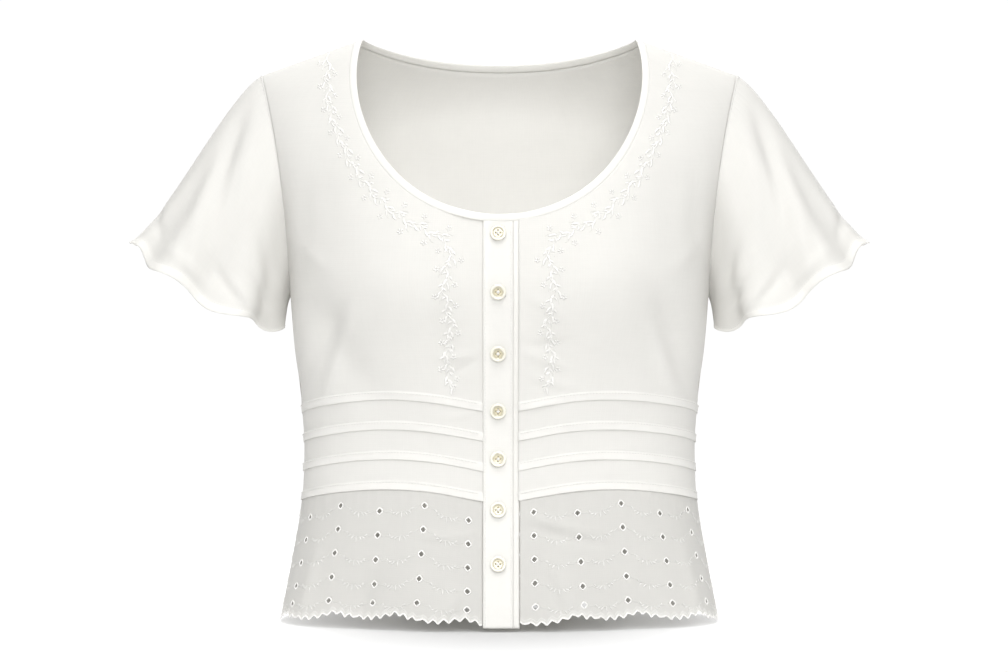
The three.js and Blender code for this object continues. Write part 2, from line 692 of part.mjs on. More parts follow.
// A sleeve, worked out for the wearer's left and mirrored for the right.
function sleeveWall(side) {
  const ring = armholeRing();
  const whole = 4 * quarter;
  const step = 0.02;
  const sheet = new Sheet();
  const pairAt = (around, along) => {
    const base = smoothSleeve(ring, around, along);
    const next = smoothSleeve(ring, around + step, along);
    const before = smoothSleeve(ring, (around - step + whole) % whole, along);
    const down = smoothSleeve(ring, around, Math.min(along + step, 1));
    down.sub(smoothSleeve(ring, around, Math.max(along - step, 0)));
    const normal = next.sub(before).cross(down).normalize();
    const raised = sleeveRelief(around, along);
    const outside = base.clone().addScaledVector(normal, raised);
    const inside = outside.clone().addScaledVector(normal, -clothThickness);
    if (along === 0) inside.x = Math.max(inside.x, base.x);
    return [outside, inside].map((point) => point.setX(side * point.x));
  };
  const turns = ring.map((_, i) => (whole * i) / ring.length);
  const rows = sleeveRows.map((along) => sheet.row(turns.map((around) => pairAt(around, along))));
  const closed = rows.map((row) => [...row, row[0]]);
  for (let i = 1; i < closed.length; i++) sheet.join(closed[i - 1], closed[i]);
  return sheet.toWall();
}

// Buttons

function toSolid(geometry) {
  const bare = geometry.index ? geometry.toNonIndexed() : geometry.clone();
  bare.deleteAttribute("normal");
  bare.deleteAttribute("uv");
  const merged = mergeVertices(bare, 1e-4);
  return new wasm.Manifold(
    new wasm.Mesh({
      numProp: 3,
      vertProperties: merged.getAttribute("position").array,
      triVerts: new Uint32Array(merged.index.array),
    }),
  );
}

function toGeometry(solid) {
  const mesh = solid.getMesh();
  const geometry = new THREE.BufferGeometry();
  geometry.setAttribute("position", new THREE.BufferAttribute(mesh.vertProperties, 3));
  geometry.setIndex(new THREE.BufferAttribute(mesh.triVerts, 1));
  return geometry;
}

// A round button with a raised rim and a sunk middle with four holes, standing along +Z from its back.
function buttonGeometry() {
  const radius = button.diameter / 2;
  const profile = [
    [0, 0],
    [radius - 1, 0],
    [radius, 1],
    [radius - 0.4, button.thickness - 0.3],
    [radius - 1.3, button.thickness],
    [radius - 2.6, button.thickness - 0.9],
    [0, button.thickness - 1],
  ].map(([r, height]) => new THREE.Vector2(r, height));
  const disc = new THREE.LatheGeometry(profile, 16);
  let solid = toSolid(disc);
  for (let i = 0; i < 4; i++) {
    const hole = new THREE.CylinderGeometry(button.holeRadius, button.holeRadius, 3 * button.thickness, 5);
    const turn = (Math.PI / 2) * i;
    hole.translate(button.holeCircle * Math.cos(turn), 0, button.holeCircle * Math.sin(turn));
    solid = solid.subtract(toSolid(hole));
  }
  return toGeometry(solid).rotateX(Math.PI / 2);
}

// The object, one named mesh for each cut or sewn-on piece

const blouse = new THREE.Group();

function addPiece(name, geometry, look) {
  const mesh = new THREE.Mesh(geometry, new THREE.MeshStandardMaterial(look));
  mesh.name = name;
  blouse.add(mesh);
  return mesh;
}

addPiece("front_left", frontPanel(1), cotton);
addPiece("front_right", frontPanel(-1), cotton);
addPiece("back", backPanel(), cotton);
addPiece("sleeve_left", sleeveWall(1), cotton);
addPiece("sleeve_right", sleeveWall(-1), cotton);
addPiece("placket_over", placketStrip({ ...placket, inside: seamGap }), cotton);
addPiece("placket_under", placketStrip({ ...underPlacket, inside: -underPlacket.thickness }), cotton);
addPiece("neck_binding", neckBinding(), cotton);

const leftEdge = (height) => angleAt(underPlacket.to + seamGap, height);
const rightEdge = (height) => angleAt(placket.from - seamGap, height);
addPiece("lace_front_left", lacePanel(leftEdge, () => quarter, false), laceCotton);
addPiece("lace_front_right", lacePanel(() => -quarter, rightEdge, false), laceCotton);
addPiece("lace_back", lacePanel(() => quarter, () => 3 * quarter, true), laceCotton);

const buttonShape = buttonGeometry();
buttonHeights.forEach((height, i) => {
  const mesh = addPiece(`button_${i + 1}`, buttonShape, pearl);
  const spot = placeAt(button.x, height, false);
  const back = onBody(spot.x, spot.y, 2 * seamGap + placket.thickness);
  const front = onBody(spot.x, spot.y, 2 * seamGap + placket.thickness + 1);
  mesh.position.copy(back);
  mesh.quaternion.setFromUnitVectors(new THREE.Vector3(0, 0, 1), front.sub(back).normalize());
});

export default blouse;
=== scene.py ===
# %% [markdown]
# # A white cotton summer blouse
#
# The blouse is drawn as it looks when it is worn: hollow and filled out, with its neck, hem and sleeve
# ends open. The solids give its form. This script lays finer cloth over that form, with real folded
# tucks, cut eyelets, raised stitching and pearl buttons, and then lights it like a catalogue picture.
# Sizes are in millimetres until a mesh is made, and the wearer's left is +X, the front is -Y, up is +Z.

import bpy
import numpy as np
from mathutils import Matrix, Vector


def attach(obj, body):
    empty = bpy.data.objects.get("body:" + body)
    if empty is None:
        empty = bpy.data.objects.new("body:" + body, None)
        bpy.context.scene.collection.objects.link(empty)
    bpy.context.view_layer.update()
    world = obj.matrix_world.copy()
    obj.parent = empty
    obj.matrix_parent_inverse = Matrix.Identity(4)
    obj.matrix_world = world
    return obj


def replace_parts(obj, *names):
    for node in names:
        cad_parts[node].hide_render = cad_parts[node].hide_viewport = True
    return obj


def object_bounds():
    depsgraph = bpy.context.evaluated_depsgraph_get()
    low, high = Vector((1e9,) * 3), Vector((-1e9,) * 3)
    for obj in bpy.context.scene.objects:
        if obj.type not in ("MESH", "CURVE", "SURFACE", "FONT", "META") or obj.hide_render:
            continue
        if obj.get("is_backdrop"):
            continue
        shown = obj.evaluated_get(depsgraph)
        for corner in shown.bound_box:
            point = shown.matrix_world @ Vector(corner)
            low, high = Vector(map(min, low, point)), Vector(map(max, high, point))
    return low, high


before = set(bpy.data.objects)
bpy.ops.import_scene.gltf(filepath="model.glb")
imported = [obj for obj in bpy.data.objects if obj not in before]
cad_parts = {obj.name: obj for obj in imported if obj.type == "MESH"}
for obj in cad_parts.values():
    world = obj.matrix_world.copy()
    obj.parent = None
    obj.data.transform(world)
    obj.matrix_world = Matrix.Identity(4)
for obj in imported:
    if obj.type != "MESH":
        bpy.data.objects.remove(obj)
solids_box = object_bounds()
MM = 0.001
QUARTER = np.pi / 2
TURN = 2 * np.pi
print("solids loaded:", ", ".join(sorted(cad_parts)))

# %% [markdown]
# ## The camera
#
# The photograph looks straight at the blouse from about 2.6 m. The camera comes first, because every
# later choice of detail depends on how large a millimetre is in the picture.

# %% Camera
CAMERA_DISTANCE = 2600
CAMERA_HEIGHT = -237
CAMERA_ASIDE = 3.8
SENSOR_WIDTH = 36
PIXELS_ACROSS, MM_A_PIXEL = 1008, 0.85

camera_data = bpy.data.cameras.new("camera")
camera_data.sensor_width = SENSOR_WIDTH
camera_data.lens = SENSOR_WIDTH * CAMERA_DISTANCE / (PIXELS_ACROSS * MM_A_PIXEL)
camera = bpy.data.objects.new("camera", camera_data)
camera.location = (CAMERA_ASIDE * MM, -CAMERA_DISTANCE * MM, CAMERA_HEIGHT * MM)
camera.rotation_euler = (QUARTER, 0, 0)
bpy.context.scene.collection.objects.link(camera)
bpy.context.scene.camera = camera
print(f"lens {camera_data.lens:.1f} mm")

# %% [markdown]
# ## The form under the cloth
#
# A worn blouse follows a body, so its shape is a stack of rounded boxes: one section for each height,
# with its half width and its depth before and behind the side seams. The same table makes the solids,
# so what is laid on it here fits them without any adjusting. A smooth cubic runs through the rows.

# %% Sections of the body
SQUARENESS = 2.4
SECTIONS = np.array(
    [  # height, half width, depth before, depth behind
        (-480, 186, 117, 109),
        (-427, 176, 110, 101),
        (-376, 167.5, 104, 93),
        (-330, 165.5, 101, 88),
        (-294, 168, 104, 90),
        (-243, 174, 112, 97),
        (-205, 177, 118, 103),
        (-185, 178.5, 119, 105),
        (-140, 185.5, 116, 108),
        (-93, 198, 108, 107),
        (-50, 207, 96, 103),
        (0, 211, 84, 97),
        (40, 213, 76, 92),
    ],
    float,
)
SIDE, FRONT, BACK = 1, 2, 3


def section_at(height, column):
    """A column of the table at any height: a cubic between rows whose slopes are those of its neighbours."""
    rows = SECTIONS[:, 0]
    values = SECTIONS[:, column]
    slopes = np.gradient(values, rows)
    slopes[1:-1] = (values[2:] - values[:-2]) / (rows[2:] - rows[:-2])
    i = np.clip(np.searchsorted(rows, height, side="right") - 1, 0, len(rows) - 2)
    span = rows[i + 1] - rows[i]
    t = np.clip((height - rows[i]) / span, 0, 1)
    keep = (1 + 2 * t) * (1 - t) ** 2
    bend = span * t * (1 - t) * ((1 - t) * slopes[i] - t * slopes[i + 1])
    return keep * values[i] + (1 - keep) * values[i + 1] + bend


# %% [markdown]
# The shoulder seam is the crest of the form. Below it, the cloth rounds over from front to back like
# the quarter of an ellipse. Broad ridges and troughs give the bust, the shoulder blades, the small of
# the back and the ripples of the hem.

# %% Shoulders and broad folds
NECK_X, NECK_Z = 118, 14
TIP_X, TIP_Z = 202, -16
ROUNDING_FRONT, ROUNDING_BACK = 110, 80
SETTLING_ROUNDS = 8

BODY_FOLDS = np.array(
    [  # angle, height, spread, reach, lean, depth
        (37, -191, 20, 56, 0, 10),
        (-37, -191, 20, 56, 0, 10),
        (58, -242, 8, 42, -0.16, -5),
        (-59, -246, 8, 44, -0.16, -5),
        (22, -262, 9, 34, 0.05, -2.5),
        (-21, -258, 8, 36, -0.05, -2.8),
        (60, -110, 7, 46, 0.03, -3),
        (-61, -112, 7, 44, -0.03, -3),
        (24, -474, 9, 58, 0.04, 4),
        (48, -470, 9, 52, -0.05, -4.5),
        (72, -476, 9, 56, 0, 3),
        (-27, -474, 10, 55, 0, 4),
        (-52, -472, 9, 50, 0.04, -4),
        (-74, -476, 8, 58, 0, 3),
        (148, -118, 17, 62, 0, 5),
        (-148, -118, 17, 62, 0, 5),
        (180, -250, 14, 85, 0, -5),
        (126, -262, 8, 62, 0.07, 3.5),
        (-128, -268, 8, 58, -0.06, 3.5),
        (110, -470, 9, 56, 0, -4),
        (136, -474, 10, 60, 0.03, 4.5),
        (163, -470, 10, 52, 0, -3.5),
        (-166, -474, 10, 56, 0, 4),
        (-140, -470, 9, 54, -0.03, -4),
        (-113, -474, 9, 58, 0, 4),
    ],
    float,
)


def shoulder_line(x):
    """Height of the shoulder seam: a straight slope outside the neck, and a low arch carried on over it."""
    slope = (NECK_Z - TIP_Z) / (TIP_X - NECK_X)
    out = np.abs(x)
    arch = NECK_Z + slope * NECK_X * (1 - (out / NECK_X) ** 2) / 2
    return np.where(out >= NECK_X, NECK_Z - slope * (out - NECK_X), arch)


def relief(angle, height):
    """Sum of the broad folds, each a bell in the angle round the body and in the height."""
    total = np.zeros(np.broadcast(angle, height).shape)
    for around, level, spread, reach, lean, depth in BODY_FOLDS:
        centre = np.radians(around + lean * (height - level))
        away = np.arctan2(np.sin(angle - centre), np.cos(angle - centre)) / np.radians(spread)
        total += depth * np.exp(-(away**2) - ((height - level) / reach) ** 2)
    return total


def radius_at(angle, height):
    """Distance from the axis to the cloth: a superellipse whose depth differs before and behind."""
    depth = np.where(np.cos(angle) > 0, section_at(height, FRONT), section_at(height, BACK))
    across = np.abs(np.sin(angle)) / section_at(height, SIDE)
    forward = np.abs(np.cos(angle)) / depth
    return (across**SQUARENESS + forward**SQUARENESS) ** (-1 / SQUARENESS) + relief(angle, height)


def body_point(angle, drop):
    """A point of the form at an angle from the centre front and a drop below the shoulder line."""
    height = -drop
    for _ in range(SETTLING_ROUNDS):
        height = shoulder_line(radius_at(angle, height) * np.sin(angle)) - drop
    radius = radius_at(angle, height)
    rounding = np.where(np.cos(angle) > 0, ROUNDING_FRONT, ROUNDING_BACK)
    short = 1 - np.minimum(drop / rounding, 1)
    return np.stack(
        [radius * np.sin(angle), -radius * np.cos(angle) * np.sqrt(1 - short**2), height], axis=-1
    )


def unit(vectors):
    """The same directions, each of length 1."""
    return vectors / np.maximum(np.linalg.norm(vectors, axis=-1, keepdims=True), 1e-9)


def body_normal(angle, drop):
    """The cloth's outward way: the cross product of its directions round the body and up it."""
    along = body_point(angle + 0.01, drop) - body_point(angle - 0.01, drop)
    up = body_point(angle, drop) - body_point(angle, drop + 0.05)
    return unit(np.cross(along, up))


def drop_at(angle, height):
    """How far a point of the form is below the shoulder line."""
    return np.maximum(0, shoulder_line(radius_at(angle, height) * np.sin(angle)) - height)


def angle_at(x, height, behind=False):
    """The angle at which the form stands at a distance from the middle plane."""
    depth = section_at(height, BACK if behind else FRONT)
    share = np.minimum(np.abs(x) / section_at(height, SIDE), 1)
    angle = np.arctan2(x, depth * (1 - share**SQUARENESS) ** (1 / SQUARENESS))
    return np.pi - angle if behind else angle


def place_at(x, height, behind=False):
    """Angle and drop of the point seen at x and a height, from the front or from behind."""
    return angle_at(x, height, behind), np.maximum(0, shoulder_line(x) - height)


# %% [markdown]
# ## Creases
#
# The broad folds leave the cloth too smooth. Real cotton pulls: from the bust down towards the side
# seam, from the buttons, and from the armhole. Each crease is one row of a table, a bent line seen from
# the front or from behind with a width and a depth, and it fades out towards its two ends. A negative
# depth is a trough.

# %% Creases of the body
FRONT_CREASES = [  # start x, z, middle x, z, end x, z, width, depth
    (-130, -206, -146, -246, -168, -292, 9, -5.0),
    (-118, -216, -132, -256, -148, -298, 7, 2.6),
    (-141, -236, -156, -268, -170, -300, 5, 1.6),
    (131, -204, 148, -248, 168, -290, 9, -5.2),
    (119, -214, 133, -256, 149, -296, 7, 2.8),
    (143, -238, 157, -266, 170, -298, 5, 1.5),
    (-158, -96, -164, -140, -160, -188, 8, -1.6),
    (159, -92, 165, -142, 161, -186, 8, -1.6),
    (-172, -150, -158, -172, -134, -186, 6, 1.2),
    (172, -152, 158, -170, 136, -188, 6, 1.2),
    (-18, -250, -34, -256, -54, -254, 3.4, 1.1),
    (-18, -257, -32, -266, -48, -270, 3.0, -1.0),
    (-18, -298, -30, -304, -46, -303, 2.6, 0.7),
    (20, -250, 36, -258, 58, -262, 3.4, 1.1),
    (20, -246, 38, -246, 60, -240, 3.2, -1.0),
    (20, -300, 34, -292, 52, -288, 3.0, 0.8),
    (22, -268, 40, -276, 66, -280, 3.2, 0.9),
    (-20, -203, -40, -214, -58, -232, 4.0, -0.7),
    (20, -204, 38, -212, 60, -226, 4.0, 0.7),
    (20, -383, 46, -392, 84, -398, 4.5, 1.4),
    (24, -392, 52, -404, 92, -408, 4.5, -1.2),
    (-20, -398, -44, -404, -72, -398, 4.0, 1.0),
    (-30, -440, -44, -462, -50, -478, 6, 1.6),
    (38, -432, 50, -456, 54, -478, 6, -1.6),
    (96, -420, 108, -448, 112, -478, 7, 1.8),
    (-100, -428, -112, -452, -118, -478, 7, -1.8),
    (-148, -404, -158, -440, -166, -476, 6, 1.8),
    (150, -404, 160, -440, 168, -476, 6, 1.8),
]
BACK_CREASES = [
    (-60, -262, -84, -284, -120, -296, 8, 2.0),
    (58, -258, 86, -282, 124, -298, 8, 2.0),
    (-40, -236, -70, -252, -116, -262, 7, -1.8),
    (42, -238, 70, -250, 112, -264, 7, -1.8),
    (-150, -120, -136, -160, -108, -190, 8, -1.8),
    (150, -118, 138, -158, 110, -192, 8, -1.8),
    (-12, -230, -8, -262, -10, -300, 7, -1.2),
    (-30, -424, -38, -450, -40, -478, 7, 1.6),
    (34, -428, 42, -452, 46, -478, 7, -1.6),
    (-118, -420, -126, -448, -130, -478, 7, -1.6),
    (112, -424, 122, -450, 128, -478, 7, 1.8),
    (-160, -410, -166, -444, -172, -476, 6, 1.4),
    (160, -408, 166, -444, 172, -476, 6, 1.4),
]


def crease_depth(points, creases):
    """Height of the creases at points: a bell across each bent line, times a slow rise and fall along it."""
    flat = points.reshape(-1, 3)[:, [0, 2]]
    total = np.zeros(len(flat))
    t = np.linspace(0, 1, 13)[:, None]
    for ax, az, mx, mz, bx, bz, width, depth in creases:
        start, middle, end = np.array([ax, az]), np.array([mx, mz]), np.array([bx, bz])
        line = (1 - t) ** 2 * start + 2 * t * (1 - t) * middle + t**2 * end
        reach = 3 * width
        near = (
            (flat[:, 0] > line[:, 0].min() - reach)
            & (flat[:, 0] < line[:, 0].max() + reach)
            & (flat[:, 1] > line[:, 1].min() - reach)
            & (flat[:, 1] < line[:, 1].max() + reach)
        )
        if not near.any():
            continue
        spots = flat[near][:, None]
        legs = line[1:] - line[:-1]
        along = np.clip(((spots - line[:-1]) * legs).sum(-1) / (legs**2).sum(-1), 0, 1)
        gap = np.linalg.norm(spots - line[:-1] - along[..., None] * legs, axis=-1)
        best = gap.argmin(1)
        rows = np.arange(len(best))
        share = (best + along[rows, best]) / len(legs)
        fade = np.sin(np.pi * (0.08 + 0.84 * share)) ** 1.3
        total[near] += depth * fade * np.exp(-((gap[rows, best] / width) ** 2))
    return total.reshape(points.shape[:-1])


def on_cloth(angle, drop, out, behind=False):
    """A point of the finished cloth, moved out along its normal. Creases are included."""
    angle, drop, out = np.broadcast_arrays(np.asarray(angle, float), drop, out)
    points = body_point(angle, drop)
    raised = crease_depth(points, BACK_CREASES if behind else FRONT_CREASES)
    return points + body_normal(angle, drop) * (out + raised)[..., None]


# %% [markdown]
# ## Edges of the cut pieces
#
# A maker would draw the neck first. From the front it is most of an ellipse that meets the shoulder
# seam a little past its widest point, and behind it is a shallow curve. The armhole swings in from the
# shoulder tip to the armpit. These curves are the same as in the solids.

# %% Neck, armhole and tucks
NECK_HALF, NECK_WIDEST, NECK_FRONT, NECK_BACK = 119, -15, -138, 0.3
NECK_BACK_CURVE = 2.2
BINDING_WIDTH = 6
SEAM_GAP = 0.3
LAP = 1.2
NECK_MARGIN = BINDING_WIDTH - LAP
ARMPIT_HEIGHT, ARMHOLE_CURVE, ARMHOLE_CROWDING = -203, 2.2, 1.6
TUCK_EDGES = (-376.5, -352, -327.5, -303)
TUCK_WIDTH = 7.2
SIDE_LIFT, CENTRE_LIFT, LIFT_FADE = 12, 3, (-296, -204)
LACE_HEIGHT = 99.5
PLACKET_OVER = (-13.5, 11.5)
PLACKET_UNDER = (-9, 16.5)
PLACKET_BOTTOM = -474.5


def blend(start, end, share):
    return start + (end - start) * share


def smoothstep(value, low, high):
    """0 at low and 1 at high, with a soft start and end."""
    t = np.clip((value - low) / (high - low), 0, 1)
    return t * t * (3 - 2 * t)


def neck_ellipse(margin):
    """Half width, half height and last turn of the front neckline, moved away from the opening."""
    across = NECK_HALF + margin
    down = NECK_WIDEST - NECK_FRONT + margin
    last = QUARTER
    for _ in range(SETTLING_ROUNDS):
        last = np.arccos((NECK_WIDEST - shoulder_line(across * np.sin(last))) / down)
    return across, down, last


def front_neckline(margin, share):
    """share is 0 at the centre front and 1 at the left shoulder seam."""
    across, down, last = neck_ellipse(margin)
    turn = share * last
    return place_at(across * np.sin(turn), NECK_WIDEST - down * np.cos(turn))


def back_neckline(margin, share):
    """share is 1 at the left shoulder seam, 0 at the centre back and -1 at the right seam."""
    across, _, last = neck_ellipse(margin)
    seam_x = across * np.sin(last)
    bottom = NECK_BACK - margin
    x = seam_x * np.sin(share * QUARTER)
    height = blend(bottom, shoulder_line(seam_x), np.abs(x / seam_x) ** NECK_BACK_CURVE)
    return place_at(x, height, behind=True)


def neck_share_at(x):
    """The share of the front neckline at a distance from the middle plane."""
    across, _, last = neck_ellipse(NECK_MARGIN)
    return np.arcsin(x / across) / last


def armhole(share, behind):
    """Edge of the armhole, from the armpit (0) to the shoulder tip (1)."""
    x = blend(section_at(ARMPIT_HEIGHT, SIDE), TIP_X, share**ARMHOLE_CURVE)
    return place_at(x, blend(ARMPIT_HEIGHT, TIP_Z, share), behind)


def crowd_to_tip(share):
    """Shares of the armhole that lie closer together towards the shoulder tip."""
    return 1 - (1 - share) ** ARMHOLE_CROWDING


def shoulder_seam(t, behind=False):
    """Angle and drop along the left shoulder seam, from the tip (0) to the neck (1)."""
    across, _, last = neck_ellipse(NECK_MARGIN)
    x = blend(TIP_X, across * np.sin(last), t)
    return angle_at(x, shoulder_line(x), behind), np.zeros_like(t)


def lift_at(angle, height):
    """How far the bust draws up the tucks and the hem. It fades at the sides and above the tucks."""
    share = np.minimum(np.abs(angle) / QUARTER, 1)
    lift = SIDE_LIFT * np.sin(np.pi * share) ** 1.5 + CENTRE_LIFT * (1 - share)
    at_hem = 0.55 + 0.45 * smoothstep(height, TUCK_EDGES[0] - LACE_HEIGHT, TUCK_EDGES[0])
    return np.where(share < 1, lift * at_hem * (1 - smoothstep(height, *LIFT_FADE)), 0)


def flap_ripple(angle, height):
    """The share by which a tuck's flap stands further out or in."""
    return 0.35 * np.sin(angle * 9 + height * 0.21)


# %% [markdown]
# ## Turning nets of points into cloth
#
# All the cloth is worked out as nets of points, with a map in millimetres of where each point lies on
# the flat piece, and a number that says how many layers of cloth lie there. One helper makes the mesh,
# and a Solidify modifier gives it the thickness of real cotton. Thick layers look whiter than single
# ones, because fine cotton lets the dark inside show through.

# %% Mesh helpers
CLOTH_THICKNESS, PLACKET_THICKNESS, LACE_THICKNESS = 0.35, 0.6, 0.3
MAP_SCALE = 0.01


def link(mesh, material):
    """Puts a mesh in the scene as a piece of the blouse that has the mesh's name."""
    piece = bpy.data.objects.new(mesh.name, mesh)
    bpy.context.scene.collection.objects.link(piece)
    mesh.materials.append(material)
    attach(piece, "root")
    return piece


def make_mesh(name, points, faces, flat, layers=None):
    """Points in millimetres and a list of faces. flat is a place in millimetres on the flat cloth for
    each point, and layers the share of extra layers there."""
    mesh = bpy.data.meshes.new(name)
    mesh.from_pydata((points * MM).tolist(), [], faces)
    corner_points = np.empty(len(mesh.loops), np.int32)
    mesh.loops.foreach_get("vertex_index", corner_points)
    mesh.uv_layers.new(name="flat").data.foreach_set("uv", (flat[corner_points] * MAP_SCALE).ravel())
    if layers is not None:
        mesh.attributes.new("layers", "FLOAT", "POINT").data.foreach_set("value", layers.astype(np.float32))
    mesh.polygons.foreach_set("use_smooth", np.ones(len(mesh.polygons), bool))
    mesh.update()
    return mesh


def net_numbers(points):
    return np.arange(points.size // 3).reshape(points.shape[:2])


def net_faces(numbers, closed=False):
    """Faces of a net, from the numbers of its points. Rows go up, columns go to the right, and the last
    column of a closed net meets its first."""
    if closed:
        numbers = np.hstack([numbers, numbers[:, :1]])
    low, high = numbers[:-1], numbers[1:]
    return np.stack([low[:, :-1], low[:, 1:], high[:, 1:], high[:, :-1]], -1).reshape(-1, 4)


def make_cloth(node, net, thickness=CLOTH_THICKNESS, material=None):
    """Cloth in the place of one solid. A net is its points, faces, flat places and layers."""
    points, faces, flat, layers = net
    mesh = make_mesh(f"{node}_cloth", points, faces.tolist(), flat, layers)
    piece = link(mesh, material or cotton)
    solidify = piece.modifiers.new("cloth", "SOLIDIFY")
    solidify.thickness = thickness * MM
    solidify.offset = -1
    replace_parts(piece, node)
    corners = points[faces]
    diagonals = np.cross(corners[:, 2] - corners[:, 0], corners[:, 3] - corners[:, 1])
    area = np.linalg.norm(diagonals, axis=-1).sum() / 2 * MM**2
    print(f"{mesh.name}: {area:.4f} m2, {len(faces)} faces")

# %% [markdown]
# ## Writing materials as sums
#
# A node tree is easier to read as arithmetic. Value wraps one socket, so that an expression such as
# `1 - mask * 0.2` adds the Math nodes it needs. Every other node comes from Finish.node, which takes the
# node's type, its settings and the values or links of its sockets.

# %% Shader helpers
def operation(kind, reflected=False):
    """A method that adds a Math node. In a reflected one, the socket is the second number."""

    def method(self, other):
        first, second = (other, self) if reflected else (self, other)
        return self.finish.node("ShaderNodeMath", {"operation": kind}, {0: first, 1: second})

    return method


class Value:
    """One number socket, which adds a Math node for each operation."""

    __add__ = __radd__ = operation("ADD")
    __mul__ = __rmul__ = operation("MULTIPLY")
    __sub__ = operation("SUBTRACT")
    __rsub__ = operation("SUBTRACT", reflected=True)

    def __init__(self, finish, socket):
        self.finish = finish
        self.socket = socket


class Finish:
    """A material under construction."""

    def __init__(self, name):
        self.material = bpy.data.materials.new(name)
        self.material.use_nodes = True
        self.tree = self.material.node_tree
        self.shader = self.tree.nodes["Principled BSDF"]

    def set(self, socket, value):
        if isinstance(value, Value):
            self.tree.links.new(value.socket, socket)
        else:
            socket.default_value = value

    def node(self, kind, settings, sockets, output=0):
        made = self.tree.nodes.new(kind)
        for name, value in settings.items():
            setattr(made, name, value)
        for key, value in sockets.items():
            self.set(made.inputs[key], value)
        return Value(self, made.outputs[output])

    def ramp(self, share, stops):
        """A colour for each share. Stops are a position and a colour."""
        ramped = self.node("ShaderNodeValToRGB", {}, {0: share})
        elements = ramped.socket.node.color_ramp.elements
        while len(elements) < len(stops):
            elements.new(0.5)
        for element, (position, colour) in zip(elements, stops):
            element.position = position
            element.color = (*colour, 1)
        return ramped

    def flat_map(self):
        return self.node("ShaderNodeUVMap", {"uv_map": "flat"}, {})

    def object_place(self):
        return self.node("ShaderNodeTexCoord", {}, {}, output=3)

    def vector(self, operation, first, sockets, output=0):
        return self.node("ShaderNodeVectorMath", {"operation": operation}, {0: first, **sockets}, output)

    def noise(self, place, scale, detail, distortion=0.0):
        sockets = {"Vector": place, "Scale": scale, "Detail": detail, "Distortion": distortion}
        return self.node("ShaderNodeTexNoise", {}, sockets)

    def wave(self, place, settings, scale, distortion, detail=2.0):
        sockets = {"Vector": place, "Scale": scale, "Distortion": distortion, "Detail": detail}
        return self.node("ShaderNodeTexWave", settings, sockets, output=1)

    def bump(self, height, strength, distance):
        sockets = {"Strength": strength, "Distance": distance, "Height": height}
        return self.node("ShaderNodeBump", {}, sockets)

    def principled(self, **values):
        for key, value in values.items():
            self.set(self.shader.inputs[key.replace("_", " ")], value)
        return self.material

    def let_light_through(self, share, colour):
        """Mixes in a share of light that passes through thin cloth."""
        through = self.node("ShaderNodeBsdfTranslucent", {}, {"Color": colour})
        plain = Value(self, self.shader.outputs[0])
        both = self.node("ShaderNodeMixShader", {}, {0: share, 1: plain, 2: through})
        self.tree.links.new(both.socket, self.tree.nodes["Material Output"].inputs["Surface"])
        return self.material

# %% [markdown]
# ## Cotton
#
# Fine white cotton is a plain weave of threads about a quarter of a millimetre apart, with a few
# thicker threads that show as faint streaks. Its white is slightly warm, and greyer where it is a
# single layer. The weave is a bump on the flat map, so it follows the cloth round the body.

# %% Cotton and thread
SHEER_WHITE = (0.80, 0.792, 0.766, 1)
DENSE_WHITE = (0.875, 0.867, 0.84, 1)
LACE_WHITE = (0.70, 0.692, 0.666, 1)
WEAVE_PITCH = 0.26
LIGHT_THROUGH = 0.35


def cotton_finish(name, sheer, dense):
    """A weave, thick threads both ways and a cloudy shade. sheer is the colour of a single layer."""
    finish = Finish(name)
    flat = finish.flat_map()
    layers = finish.node("ShaderNodeAttribute", {"attribute_name": "layers"}, {}, output=2)
    warp, weft = (
        finish.wave(flat, {"wave_type": "BANDS", "bands_direction": way}, 100 / WEAVE_PITCH / 20, 0.6, 1.0)
        for way in "XY"
    )
    slubs, cross_slubs = (
        finish.noise(finish.node("ShaderNodeMapping", {}, {"Vector": flat, "Scale": stretch}), 1.0, 2.0)
        for stretch in ((60, 6, 1), (6, 60, 1))
    )
    streaks = slubs + cross_slubs
    mottle = finish.noise(flat, 5.0, 3.0)
    white = finish.node("ShaderNodeMix", {"data_type": "RGBA"}, {0: layers, 6: sheer, 7: dense}, output=2)
    tinted = finish.vector("SCALE", white, {"Scale": (streaks + mottle - 1.5) * 0.03 + 1.0})
    finish.principled(
        Base_Color=tinted,
        Roughness=0.88 - mottle * 0.06,
        Sheen_Weight=0.15,
        Sheen_Roughness=0.5,
        Specular_IOR_Level=0.2,
        Normal=finish.bump(warp * 0.25 + weft * 0.25 + streaks * 0.5 + mottle * 0.6, 0.1, 0.0008),
    )
    return finish.let_light_through(LIGHT_THROUGH, tinted)


def thread_finish(name, colour):
    """Embroidery cotton, a little shinier than the cloth, with a fine twist across it."""
    finish = Finish(name)
    twist = finish.wave(finish.flat_map(), {"wave_type": "BANDS", "bands_direction": "DIAGONAL"}, 16.0, 1.0)
    return finish.principled(
        Base_Color=colour,
        Roughness=0.62 - twist * 0.1,
        Sheen_Weight=0.1,
        Specular_IOR_Level=0.35,
        Normal=finish.bump(twist, 0.35, 0.0003),
    )


cotton = cotton_finish("fine_cotton", SHEER_WHITE, DENSE_WHITE)
lace_cotton = cotton_finish("eyelet_cotton", LACE_WHITE, SHEER_WHITE)
thread = thread_finish("white_thread", (0.76, 0.752, 0.728, 1))
soft_thread = thread_finish("soft_thread", (0.72, 0.712, 0.688, 1))
faint_thread = thread_finish("faint_thread", (0.67, 0.663, 0.641, 1))
print("finishes:", len(bpy.data.materials))

# %% [markdown]
# ## Fronts and back
#
# Each panel is one net. Rows run round the body from the lowest tuck to the armpit, and above it rings
# close in on the neck from the armpit row and the armhole. A tuck is a real fold here: the rows climb
# to the stitching, turn back down inside the flap, go round its folded edge and climb its outside.

